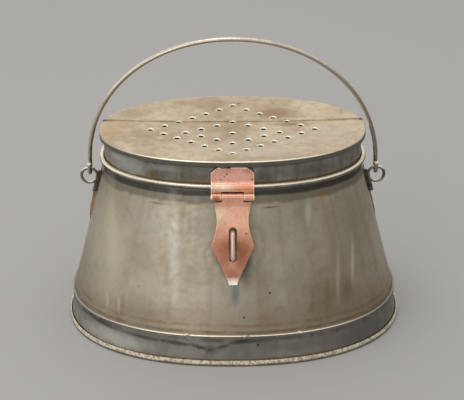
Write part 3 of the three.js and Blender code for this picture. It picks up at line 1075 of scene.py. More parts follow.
@dataclass(frozen=True)
class TinFinish:
    """Old tinplate: grey metal with a bloom, brown stains, wipe marks, specks, and rubbed edges that carry a
    painted highlight; its zones and blots also lay painted shade, shadows and reflections.
    """

    name: str
    base: Colour
    bloom: Colour
    stain: Colour
    # The colour of rubbed edges and of the painted highlights.
    bare_and_highlight: Colour = (0.95, 0.86, 0.70)
    metallic: float = 0.8
    rough: float = 0.40
    bloom_scale: float = 22.0
    stain_scale: float = 14.0
    stain_low: float = 0.5
    stain_high: float = 0.75
    stain_share: float = 0.6
    streak_share: float = 0.35
    wear_and_highlight_low: float = 0.35
    wear_and_highlight_high: float = 0.62
    wear_and_highlight_breaks: float = 0.15
    wear_and_highlight_under: float = 0.2
    fine_scale: float = 170.0
    fine_share: float = 0.22
    speck_share: float = 0.8
    grain: float = 0.02 * MM
    grain_scale: float = 900.0
    zones: tuple[Zone, ...] = ()
    blots: tuple[Blot, ...] = ()
    # The colour of the painted shade on the lid's turned-down edge.
    turned_down_shade: Colour | None = None
    # Where the rubbed edges and their painted highlight start to fade towards the ends.
    wear_and_highlight_middle: float | None = None
    # How much painted highlight the slopes pressed inside the lid's rim get.
    painted_dimple_highlight: float = 0.0
    seam_place: float | None = None
    seam_width: float = 0.9 * MM

    def middle_share(self, surface: Surface) -> object:
        """How much of the edge rubbing and its painted highlight is kept, from the tin's middle out to its
        two ends.
        """
        if self.wear_and_highlight_middle is None:
            return 1.0
        aside = surface.math("ABSOLUTE", surface.x)
        return surface.ramp(aside, self.wear_and_highlight_middle * 1.4, self.wear_and_highlight_middle * 0.7, 0.15, 1)

    def lay_turned_edge(self, surface: Surface, fading: object) -> None:
        """Lays painted shade on the lid's turned-down edge, a soft painted highlight on its rounded corner
        towards the ends, and a painted highlight on the slopes pressed inside it.

        Args:
            surface: The surface.
            fading: How much of the edge rubbing and its painted highlight is kept.
        """
        rim = surface.lid_rim()
        # A painted highlight on the slopes pressed inside the rim.
        inside = surface.times(surface.minus(1.0, rim), self.painted_dimple_highlight)
        surface.lay(self.bare_and_highlight, surface.group(EFFECTS.slopes, level=0.96, steep=0.85), inside)
        # A soft painted highlight on the rim's rounded corner where the edge rubbing fades, then painted
        # shade on the turned-down edge.
        rounding = surface.group(EFFECTS.slopes, level=0.985, steep=0.9)
        surface.lay(scaled(self.turned_down_shade, 1.7), rounding, rim, surface.minus(1.0, fading))
        surface.lay(self.turned_down_shade, surface.group(EFFECTS.slopes, level=0.5, steep=0.25), rim)

    def lay_seam(self, surface: Surface) -> None:
        """Lays the patchy dark line of the lid's lap."""
        away = surface.math("ABSOLUTE", surface.minus(surface.y, self.seam_place))
        line = surface.ramp(away, self.seam_width, self.seam_width * 0.4)
        surface.lay(SEAM_LINE, line, surface.plus(surface.times(surface.clouds(30.0, 0.35, 0.6), 0.3), 0.1))

    def material(self) -> Material:
        """The finish as a material."""
        surface = Surface(self.name, self.base)
        where = surface.where
        surface.lay(self.bloom, surface.clouds(self.bloom_scale, 0.35, 0.68))
        streaks = surface.group(EFFECTS.wipes, vector=where, spacing=9.0, length=0.05, low=0.42, high=0.72)
        surface.lay(self.stain, streaks, self.streak_share)
        stains = surface.clouds(self.stain_scale, self.stain_low, self.stain_high)
        surface.lay(self.stain, stains, self.stain_share)
        surface.lay(self.stain, surface.clouds(self.fine_scale, 0.4, 0.75), self.fine_share)
        surface.lay_zones(self.zones)
        fading = self.middle_share(surface)
        if self.turned_down_shade:
            self.lay_turned_edge(surface, fading)
        surface.lay_blots(self.blots, surface.from_above() if self.turned_down_shade else where)
        specks = surface.group(EFFECTS.specks, vector=where, scale=90.0, size=0.16)
        surface.lay(scaled(self.stain, 0.25), specks, self.speck_share)
        # Rubbed edges, with a painted highlight on those that face upward.
        worn_and_lit = surface.group(
            EFFECTS.wear_and_highlight,
            vector=where,
            low=self.wear_and_highlight_low,
            high=self.wear_and_highlight_high,
            breaks=self.wear_and_highlight_breaks,
            under=self.wear_and_highlight_under,
        )
        wear_and_highlight = surface.times(worn_and_lit, fading)
        surface.lay(self.bare_and_highlight, wear_and_highlight)
        if self.seam_place is not None:
            self.lay_seam(surface)
        rub = surface.noise(where, 260.0, 4, 0.6)
        rough = surface.rubbed(rub, self.rough - 0.06, self.rough + 0.1)
        rough = surface.minus(rough, surface.times(wear_and_highlight, 0.1))
        grain = surface.noise(where, self.grain_scale, 5, 0.65)
        return surface.close(self.metallic, rough, grain, self.grain)


@dataclass(frozen=True)
class CopperFinish:
    """Rubbed copper: pink where it is matt, bright where it is rubbed and brown in its blotches, with painted
    highlights laid as blots and on upward edges.
    """

    name: str
    base: Colour
    dark: Colour
    bright: Colour
    rough: float = 0.2
    metallic: float = 0.48
    cloud_share: float = 0.34
    fine_share: float = 0.3
    speck_share: float = 0.7
    wear_and_highlight_share: float = 0.8
    grain: float = 0.015 * MM
    grain_scale: float = 800.0
    blots: tuple[Blot, ...] = ()

    def material(self) -> Material:
        """The finish as a material."""
        surface = Surface(self.name, self.base)
        where = surface.where
        surface.lay_blots(self.blots, where)
        surface.lay(self.dark, surface.clouds(75.0, 0.45, 0.75), self.cloud_share)
        surface.lay(self.dark, surface.clouds(260.0, 0.45, 0.8), self.fine_share)
        specks = surface.group(EFFECTS.specks, vector=where, scale=260.0, size=0.3)
        surface.lay(scaled(self.dark, 0.2), specks, self.speck_share)
        # Rubbed edges, with a painted highlight on those that face upward.
        wear_and_highlight = surface.group(EFFECTS.wear_and_highlight, vector=where, low=0.35, high=0.7, breaks=0.3)
        surface.lay(self.bright, wear_and_highlight, self.wear_and_highlight_share)
        rub = surface.noise(where, 420.0, 4, 0.6)
        rough = surface.rubbed(rub, self.rough - 0.05, self.rough + 0.12)
        grain = surface.noise(where, self.grain_scale, 4, 0.6)
        return surface.close(self.metallic, rough, grain, self.grain)


@dataclass(frozen=True)
class RoughMetalFinish:
    """Metal with a coarse skin: solder, the foot's seam and old wire, with painted shade on faces turned away
    from the upper left and a painted highlight on upward edges, where these are set.
    """

    name: str
    base: Colour
    dark: Colour
    rough: float = 0.45
    grain: float = 0.15 * MM
    grain_scale: float = 500.0
    dark_low: float = 0.45
    dark_high: float = 0.7
    metallic: float = 0.85
    # The colour of rubbed edges and of the painted highlights, where set.
    bare_and_highlight: Colour | None = None
    zones: tuple[Zone, ...] = ()
    shade: float = 0.0
    shade_way: tuple[float, float, float] = (-0.55, 0.0, 0.84)

    def material(self) -> Material:
        """The finish as a material."""
        surface = Surface(self.name, self.base)
        surface.lay(self.dark, surface.clouds(self.grain_scale * 0.4, self.dark_low, self.dark_high))
        surface.lay_zones(self.zones)
        # Painted shade on the faces turned away from the upper left.
        turned_away = surface.group(EFFECTS.slopes, way=self.shade_way, level=0.25, steep=-0.5)
        surface.lay(scaled(self.dark, 0.4), turned_away, self.shade)
        # Rubbed edges, with a painted highlight on those that face upward.
        if self.bare_and_highlight:
            worn_and_lit = {"low": 0.5, "high": 0.75, "breaks": 0.3, "under": 0.35}
            surface.lay(self.bare_and_highlight, surface.group(EFFECTS.wear_and_highlight, vector=surface.where, **worn_and_lit))
        rub = surface.noise(surface.where, self.grain_scale, 4, 0.6)
        rough = surface.rubbed(rub, self.rough - 0.08, self.rough + 0.15)
        return surface.close(self.metallic, rough, rub, self.grain)


AGED_TIN = TinFinish(
    "aged_tin",
    (0.43, 0.385, 0.295),
    (0.33, 0.305, 0.235),
    (0.22, 0.155, 0.085),
    zones=(
        # Painted shade and reflection of the bead's underside on the top of the wall, then a black painted
        # shadow just under the bead.
        Zone(105.5, 118, 0.7, (0.13, 0.12, 0.095), 0.7),
        Zone(110.0, 118, 0.8, (0.03, 0.028, 0.024), 0.85),
        # A brown line at the collar's edge, a dark line and a brown line above the hem, and a brown tone low
        # on the wall.
        Zone(104.2, 106.0, 0.6, BROWN, 0.6, 1.0),
        Zone(22.4, 24.0, 0.6, GRIME_AND_SHADE, 0.6, 0.8),
        Zone(26.4, 28.4, 0.8, BROWN, 0.6, 1.0),
        Zone(10, 36, 8, (0.23, 0.17, 0.10), 0.4),
    ),
    blots=(
        # Painted reflections: a cool streak left of the middle and warm streaks near both ends of the wall.
        Blot(-38, 74, 5, 44, PAINTED_COOL_REFLECTION, 0.8, 0.3),
        Blot(-80, 76, 5, 50, PAINTED_WARM_REFLECTION, 0.45, 0.3),
        Blot(-84, 34, 1.6, 8, PAINTED_WARM_REFLECTION, 0.55, 0.4),
        Blot(-76, 34, 1.6, 9, PAINTED_WARM_REFLECTION, 0.55, 0.4),
        Blot(79, 58, 1.6, 20, PAINTED_WARM_REFLECTION, 0.8, 0.4),
        Blot(69, 52, 2.2, 24, PAINTED_WARM_REFLECTION, 0.5, 0.4),
        # Brown stains on the lower right.
        Blot(64, 84, 13, 34, BROWN, 0.15, 0.7),
        Blot(66, 36, 34, 18, BROWN, 0.28, 1.2),
        Blot(52, 38, 4, 13, BROWN, 0.45, 1.4),
        Blot(62, 42, 5, 17, BROWN, 0.45, 1.4),
        Blot(76, 44, 4, 12, BROWN, 0.45, 1.4),
        # Painted light on the left end of the wall.
        Blot(-84, 66, 22, 42, (0.56, 0.51, 0.40), 0.6, 0.6),
        # Painted shadows beside the hasp's taper.
        Blot(8.8, 66.5, 3.8, 13, (0.07, 0.068, 0.06), 0.62, 0.6, turn=-25),
        Blot(-8.8, 67.5, 3.0, 12, (0.08, 0.076, 0.064), 0.52, 0.6, turn=25),
        # A painted cool reflection on the right.
        Blot(49, 96, 3, 12, PAINTED_COOL_REFLECTION, 0.7, 0.3),
        # Stain rings round the staple.
        Blot(14, 78, 8, 18, BROWN, 0.9, 0.9, 0.85),
        Blot(-12, 70, 8, 15, BROWN, 0.9, 0.9, 0.85),
        # Painted shade on the wall behind the hasp's slot, a painted shadow under its tip and another right
        # of its taper.
        Blot(0, 81, 4, 17, GRIME_AND_SHADE, 1.0, 0.2),
        Blot(1.5, 48, 4, 11, (0.17, 0.18, 0.19), 0.75, 0.2),
        Blot(8, 64, 6, 16, GRIME_AND_SHADE, 0.55, 0.6),
        # Dark specks, mottled patches of tone, a rust spot and dark dashes at the collar's edge.
        Blot(24, 48, 1.2, 1.2, GRIME_AND_SHADE, 1.0, 0.2),
        Blot(7, 33, 1.2, 1.0, GRIME_AND_SHADE, 1.0, 0.2),
        Blot(-50, 88, 26, 16, (0.40, 0.375, 0.30), 0.6, 0.9),
        Blot(-58, 48, 30, 16, (0.50, 0.45, 0.35), 0.5, 0.9),
        Blot(38, 70, 22, 26, (0.29, 0.255, 0.18), 0.10, 0.9),
        Blot(58, 107, 5, 2.2, RUST, 0.7, 0.9),
        Blot(24, 102.5, 7, 0.9, GRIME_AND_SHADE, 0.7, 0.8),
        Blot(-48, 103, 9, 1.0, (0.13, 0.13, 0.12), 0.7, 0.9),
    ),
)
# A darker copy of the tin for the upright collar and lid skirt: its darkness is partly painted shade,
# standing for the dark surroundings that upright faces reflect.
DARK_TIN = TinFinish(
    "dark_tin",
    (0.29, 0.28, 0.24),
    (0.175, 0.17, 0.148),
    (0.11, 0.078, 0.046),
    bare_and_highlight=(0.98, 0.88, 0.70),
    fine_share=0.45,
    bloom_scale=30.0,
    stain_scale=22.0,
    streak_share=0.6,
    wear_and_highlight_low=0.3,
    wear_and_highlight_high=0.5,
    wear_and_highlight_breaks=0.08,
    wear_and_highlight_under=0.3,
    zones=(
        # A brown line where the bead meets the skirt.
        Zone(118.3, 119.6, 0.5, (0.16, 0.085, 0.03), 0.75),
        # Painted shadow under the lid's turned-down edge, then painted shade on the underside of the bead.
        Zone(129.6, 134, 0.5, GRIME_AND_SHADE, 0.6),
        Zone(113.5, 116.2, 0.5, (0.07, 0.066, 0.056), 0.8),
    ),
    blots=(
        # Painted light on the left of the skirt.
        Blot(-68, 124, 20, 9, (0.44, 0.445, 0.41), 0.9, 1.1),
        Blot(-76, 127, 7, 4, (0.50, 0.50, 0.46), 0.8, 0.9),
        Blot(-44, 127, 18, 3, (0.33, 0.33, 0.30), 0.8, 0.9),
        # Brown stains.
        Blot(-52, 122, 4, 5, BROWN, 0.7, 0.9),
        Blot(-20, 122, 9, 5, BROWN, 0.7, 0.9),
        # Painted shade towards the right of the skirt.
        Blot(20, 122, 11, 6, (0.08, 0.078, 0.068), 0.7, 0.9),
        Blot(52, 124, 20, 6, (0.12, 0.115, 0.095), 0.7, 0.9),
    ),
)
# A darker copy of the tin for the upright foot band: its darkness is partly painted shade, standing for the
# dark surroundings that upright faces reflect.
BAND_TIN = TinFinish(
    "band_tin",
    (0.31, 0.305, 0.275),
    (0.225, 0.22, 0.195),
    (0.13, 0.10, 0.065),
    bare_and_highlight=(0.86, 0.77, 0.61),
    # The hem's rubbed line and its painted highlight fade towards the ends.
    wear_and_highlight_middle=75 * MM,
    streak_share=0.3,
    stain_share=0.4,
    wear_and_highlight_breaks=0.6,
    wear_and_highlight_low=0.42,
    wear_and_highlight_high=0.7,
    zones=(
        # A patchy dark band just under the hem, and a brown line at the joint with the seam.
        Zone(16.4, 19.8, 1.4, GRIME_AND_SHADE, 0.6, 0.85),
        Zone(3.8, 5.2, 0.5, (0.20, 0.12, 0.05), 0.7, 0.5),
    ),
    blots=(
        # Painted light on the left of the band and painted shade on its right.
        Blot(-80, 9, 34, 9, (0.58, 0.565, 0.515), 0.85, 0.8),
        Blot(88, 10, 34, 12, (0.14, 0.137, 0.125), 0.75, 0.8),
        # Dark smears along the band.
        Blot(-88, 17.2, 17, 2.0, GRIME_AND_SHADE, 0.75, 1.5, turn=-6),
        Blot(-62, 15.6, 19, 2.0, GRIME_AND_SHADE, 0.7, 1.5, turn=-2),
        Blot(-38, 14.8, 17, 2.0, GRIME_AND_SHADE, 0.75, 1.5, turn=-4),
        Blot(-23, 13.2, 8, 2.2, GRIME_AND_SHADE, 0.85, 1.3, turn=-16),
        Blot(-15, 11.2, 5.5, 3.6, GRIME_AND_SHADE, 1.0, 1.2, 0.35),
        Blot(-7, 13.8, 7, 2.2, GRIME_AND_SHADE, 0.75, 1.4, turn=18),
        Blot(4, 17.0, 13, 2.0, GRIME_AND_SHADE, 0.8, 1.4, turn=4),
        # More painted shade towards the right.
        Blot(40, 12, 30, 5, (0.16, 0.15, 0.125), 0.5, 0.9),
    ),
)
LID_TIN = TinFinish(
    "lid_tin",
    (0.73, 0.60, 0.44),
    (0.60, 0.475, 0.335),
    (0.36, 0.235, 0.135),
    bare_and_highlight=(0.98, 0.90, 0.74),
    # The rim's rubbed line and its painted highlight fade towards the ends.
    wear_and_highlight_middle=58 * MM,
    wear_and_highlight_low=0.5,
    wear_and_highlight_high=0.75,
    stain_low=0.46,
    stain_high=0.68,
    stain_share=0.5,
    bloom_scale=34.0,
    stain_scale=26.0,
    streak_share=0.0,
    fine_share=0.45,
    # Painted shade on the turned-down edge and a painted highlight on the punched funnels.
    turned_down_shade=(0.15, 0.14, 0.115),
    painted_dimple_highlight=0.6,
    seam_place=13.6 * MM,
    blots=(
        Blot(-80, -6, 9, 22, (0.58, 0.36, 0.18), 0.6, 0.7),
        Blot(-66, 26, 16, 12, (0.42, 0.30, 0.17), 0.55, 0.9),
        Blot(30, 26, 22, 14, (0.34, 0.20, 0.10), 0.65, 0.9),
        Blot(40, 8, 18, 5, (0.30, 0.17, 0.08), 0.7, 0.9),
        Blot(-6, 2, 28, 14, (0.40, 0.27, 0.15), 0.5, 0.9),
        Blot(10, 44, 40, 7, (0.42, 0.29, 0.17), 0.10, 0.9),
        Blot(62, -12, 20, 26, (0.66, 0.57, 0.45), 0.5, 0.8),
        Blot(20, -40, 30, 14, (0.74, 0.66, 0.54), 0.5, 0.8),
    ),
)
COPPER = CopperFinish(
    "rubbed_copper_painted_highlights",
    (0.80, 0.38, 0.26),
    (0.40, 0.15, 0.075),
    (1.0, 0.80, 0.62),
    blots=(
        Blot(0, 126, 26, 12, (1.0, 0.54, 0.42), 1.0, 0.3),
        # Painted highlights on the upper hasp: pink in the middle, cream at the left edge, orange at the
        # right edge.
        Blot(0, 98, 16, 16, (1.0, 0.56, 0.40), 1.0, 0.3),
        Blot(-9, 101, 6.5, 11, (1.0, 0.74, 0.50), 1.0, 0.2),
        Blot(9.5, 98, 3.8, 9, (1.0, 0.58, 0.36), 1.0, 0.3),
        # Brown blotches on the lower hasp and above its tip.
        Blot(0, 79, 20, 9, (0.44, 0.16, 0.07), 1.0, 0.4),
        Blot(6, 73, 8, 13, (0.33, 0.115, 0.05), 0.8, 0.6),
        Blot(-6, 70, 7, 10, (0.40, 0.16, 0.085), 0.7, 0.6),
        Blot(0, 62, 8, 6, (0.46, 0.19, 0.135), 0.9, 0.4),
        # A painted highlight on the flared tip.
        Blot(0, 55.4, 9, 4.4, (1.0, 0.96, 0.86), 1.0, 0.1),
        # A painted highlight on the bead cover, cream at its left and orange at its right.
        Blot(-8, 117.5, 11, 3.4, (1.0, 0.86, 0.62), 1.0, 0.2),
        Blot(9, 117.0, 9, 3, (0.86, 0.36, 0.19), 0.8, 0.3),
        # Darker blotches and specks.
        Blot(10, 128, 5, 3, (0.45, 0.19, 0.11), 0.6, 0.5),
        Blot(-3, 128, 6, 3, (0.60, 0.28, 0.20), 0.6, 0.5),
        Blot(-10.5, 111, 4.5, 3.5, (0.38, 0.14, 0.07), 1.0, 0.5),
        Blot(12.2, 127.6, 0.8, 0.8, (0.06, 0.03, 0.02), 1.0, 0.3),
        Blot(12.6, 122.2, 0.8, 0.8, (0.06, 0.03, 0.02), 1.0, 0.3),
    ),
)
STAPLE_COPPER = CopperFinish("staple_copper", (0.66, 0.42, 0.36), (0.40, 0.20, 0.14), (0.80, 0.56, 0.48))
# The foot's seam: its bright base, broken by fine dark clouds, paints glints on it.
SEAM = RoughMetalFinish(
    "worn_seam_painted_glints",
    (1.0, 0.91, 0.72),
    (0.50, 0.41, 0.30),
    rough=0.34,
    metallic=0.5,
    grain=0.4 * MM,
    grain_scale=1300.0,
    dark_low=0.46,
    dark_high=0.60,
    # Painted shade along the lower part of the seam.
    zones=(Zone(-1, 1.7, 0.7, (0.10, 0.09, 0.075), 0.9),),
)
SOLDER = RoughMetalFinish("old_solder", (0.20, 0.195, 0.175), (0.09, 0.085, 0.072), rough=0.5)
BRIGHT_SOLDER = RoughMetalFinish("bright_solder", (0.96, 0.88, 0.72), (0.34, 0.28, 0.20), rough=0.35)
BROWN_SOLDER = RoughMetalFinish("brown_solder", (0.12, 0.095, 0.065), (0.045, 0.036, 0.027), rough=0.45)
RUSTY_SOLDER = RoughMetalFinish(
    "rusty_solder", (0.36, 0.20, 0.095), (0.13, 0.08, 0.045), rough=0.6, metallic=0.5
)
# The ears' dark wire, with a painted highlight on its upward edges.
EYE_WIRE = RoughMetalFinish(
    "eye_wire",
    (0.25, 0.225, 0.18),
    (0.07, 0.06, 0.048),
    rough=0.28,
    grain=0.06 * MM,
    bare_and_highlight=(0.95, 0.90, 0.78),
)
# Old tinned wire, with a painted highlight on its upward edges and painted shade on the faces turned away
# from the upper left.
WIRE = RoughMetalFinish(
    "tinned_wire",
    (0.64, 0.58, 0.46),
    (0.38, 0.32, 0.22),
    rough=0.24,
    grain=0.03 * MM,
    grain_scale=120.0,
    dark_low=0.5,
    dark_high=0.85,
    bare_and_highlight=(0.98, 0.93, 0.82),
    shade=0.8,
)


# The tin


@dataclass
class Body:
    """The flared can: two wall sheets, the collar in its mouth, the foot band and the bottom."""

    wall_foot: float = 12 * MM
    side_lap: float = 6 * MM
    joggle: float = 0.9 * MM
    joggle_angle: float = 6
    joggle_start_share: float = 0.72
    notch_height: float = 105.5 * MM
    row_height: float = 3.2 * MM
    collar_half_width: float = 84.55 * MM
    collar_low: float = 107 * MM
    collar_high: float = 123.5 * MM
    crease_height: float = 106.4 * MM
    crease_proud: float = 0.15 * MM
    band_top_half_width: float = 110.8 * MM
    band_foot_half_width: float = 113.1 * MM
    band_foot: float = 0.9 * MM
    hem_height: float = 1.6 * MM
    hem_proud: float = 0.7 * MM
    hem_crease: float = 0.3 * MM
    seam_half_width: float = 114 * MM
    seam_height: float = 4.2 * MM
    seam_fold: float = 0.4 * MM
    seam_fold_outside: float = 0.35 * MM
    panel_fold: float = 0.3 * MM
    panel_lift: float = 2.4 * MM
    wave_depth: float = 0.14 * MM
    wave_length: float = 34 * MM
    collar_softness: float = 0.15 * MM
    finish: Material = field(default_factory=AGED_TIN.material)
    dark_finish: Material = field(default_factory=DARK_TIN.material)
    band_finish: Material = field(default_factory=BAND_TIN.material)
    seam_finish: Material = field(default_factory=SEAM.material)

    def wall_profile(self) -> Profile:
        """The middle of the wall's sheet, from behind the band up to its top edge."""
        half = SHAPE.tin / 2
        spread = self.band_foot_half_width - self.band_top_half_width
        slope = spread / (high("foot_band").z - self.band_foot)
        turn_half_width = SHAPE.wall_turn_half_width - half
        foot = (turn_half_width + slope * (SHAPE.wall_turn - self.wall_foot), self.wall_foot)
        turn = (turn_half_width, SHAPE.wall_turn)
        top = (SHAPE.wall_top_half_width - half, SHAPE.wall_top)
        line = stepped([foot, turn, top], self.row_height)
        return [(width + self.crease(height), height) for width, height in line]

    def crease(self, height: float) -> float:
        """How far the wall stands proud over the collar's soldered edge."""
        rise = smooth_share(height, self.crease_height - 1.2 * MM, self.crease_height + 0.4 * MM)
        return rise * self.crease_proud

    def wall_sheet(
        self, name: str, cut_way: int, inset: Callable[[float], float] = lambda angle: 0.0
    ) -> Piece:
        """One of the wall's two sheets, with its laps.

        Args:
            name: The piece's name.
            cut_way: 1 where the rear half goes, -1 where the front half goes.
            inset: How far the sheet is drawn in at an angle.

        Returns:
            The sheet.
        """
        piece = turned(name, self.wall_profile())
        press_oval(piece, inset)
        keep_side(piece, (0, cut_way * self.side_lap, 0), (0, cut_way, 0))
        unevenness(piece, self.wave_depth, self.wave_length, 1.0)
        thicken(piece, SHAPE.tin)
        return piece

    def rear_sheet(self) -> Piece:
        """The wall's rear sheet, set in where the front sheet laps over it."""
        lap_angle = math.asin(self.side_lap / SHAPE.wall_half_depth(SHAPE.wall_top))
        full = math.sin(math.radians(self.joggle_angle) + lap_angle)

        def joggled(angle: float) -> float:
            """The inset at an angle, eased over the joggle."""
            return self.joggle * (1 - smooth_share(math.sin(angle), full * self.joggle_start_share, full))

        piece = self.wall_sheet("rear_wall", -1, joggled)
        reach = cad_high.x + self.side_lap
        notch_depth = self.side_lap + SHAPE.solder
        cut(piece, block((-reach, -notch_depth, self.notch_height), (reach, notch_depth, SHAPE.lid_top)))
        return piece

    def collar(self) -> Piece:
        """The collar that the lid's skirt closes over."""
        middle = self.collar_half_width - SHAPE.tin / 2
        profile = stepped([(middle, self.collar_low), (middle, self.collar_high)], 2.5 * MM)
        piece = turned("collar", profile)
        press_oval(piece)
        thicken(piece, SHAPE.tin)
        soften_edges(piece, self.collar_softness)
        return piece

    def band(self) -> Piece:
        """The foot band with the rolled hem along its top."""
        top = high("foot_band").z
        fold = top - self.hem_height
        hem_middle = (self.band_top_half_width - SHAPE.tin / 2, top - self.hem_height / 2)
        hem = arc(hem_middle, self.hem_height / 2, -90, 180, 22.5)
        outer_foot = (self.band_foot_half_width, self.band_foot)
        outer = stepped([outer_foot, (self.band_top_half_width, fold - self.hem_crease)], 2 * MM)
        bulge = self.hem_proud - self.hem_height / 2 + SHAPE.tin / 2
        hem = [(x + bulge * (x > hem_middle[0]), z) for x, z in hem]
        inner_foot = (self.band_foot_half_width - SHAPE.tin, self.band_foot)
        inner = stepped([(self.band_top_half_width - SHAPE.tin, fold), inner_foot], 3 * MM)
        piece = turned("foot_ring", [*outer, *hem, *inner], closed=True)
        press_oval(piece)
        return piece

    def bottom(self) -> Piece:
        """The bottom, with the channel round its edge that holds the band."""
        half = SHAPE.tin / 2
        wall = self.seam_half_width - half
        inner = self.band_foot_half_width - SHAPE.tin - SHAPE.solder - half
        lift = self.panel_lift + half
        line = [(wall, self.seam_height), (wall, half + self.seam_fold_outside)]
        line += [(wall - self.seam_fold_outside, half), (inner + self.seam_fold, half)]
        line += [(inner, half + self.seam_fold), (inner, lift - self.panel_fold)]
        line += [(inner - self.panel_fold, lift)]
        line += [(inner * share, lift) for share in (0.9, 0.75, 0.6, 0.45, 0.3, 0.15, 0.05)]
        piece = turned("bottom", stepped(line, 12 * MM), filled=True)
        press_oval(piece)
        thicken(piece, SHAPE.tin)
        return piece

    def dress_panel(self, piece: Piece) -> None:
        """Gives the bottom's flat panel the walls' finish, inside its coarse edge.

        Args:
            piece: The bottom, already dressed with the edge's finish.
        """
        piece.data.materials.append(self.finish)
        middle = self.panel_lift + SHAPE.tin / 2
        for face in piece.data.polygons:
            if abs(face.normal.z) > FLAT_FACE and abs(face.center.z - middle) < SHAPE.tin:
                face.material_index = 1

    def build(self) -> None:
        """Builds the can."""
        front = self.wall_sheet("front_wall", 1)
        hand_over(front, self.finish, Place(Carrier.BODY, Stock.TIN, "body_front_sheet"))
        hand_over(self.rear_sheet(), self.finish, Place(Carrier.BODY, Stock.TIN, "body_rear_sheet"))
        hand_over(self.collar(), self.dark_finish, Place(Carrier.BODY, Stock.DARK_TIN, "neck_collar"))
        hand_over(self.band(), self.band_finish, Place(Carrier.BODY, Stock.DARK_TIN, "foot_band"))
        bottom = self.bottom()
        hand_over(bottom, self.seam_finish, Place(Carrier.BODY, Stock.DARK_TIN, "bottom_plate"))
        self.dress_panel(bottom)


@dataclass(frozen=True)
class Diamond:
    """A diamond of air holes."""

    half_width: float
    half_depth: float
    centre: float
    steps: int

    def places(self) -> list[tuple[float, float]]:
        """The holes' places, side by side round the diamond."""
        corners = [(1, 0), (0, 1), (-1, 0), (0, -1), (1, 0)]
        return [
            (
                lerp(x0, x1, i / self.steps) * self.half_width,
                lerp(y0, y1, i / self.steps) * self.half_depth + self.centre,
            )
            for (x0, y0), (x1, y1) in pairwise(corners)
            for i in range(self.steps)
        ]


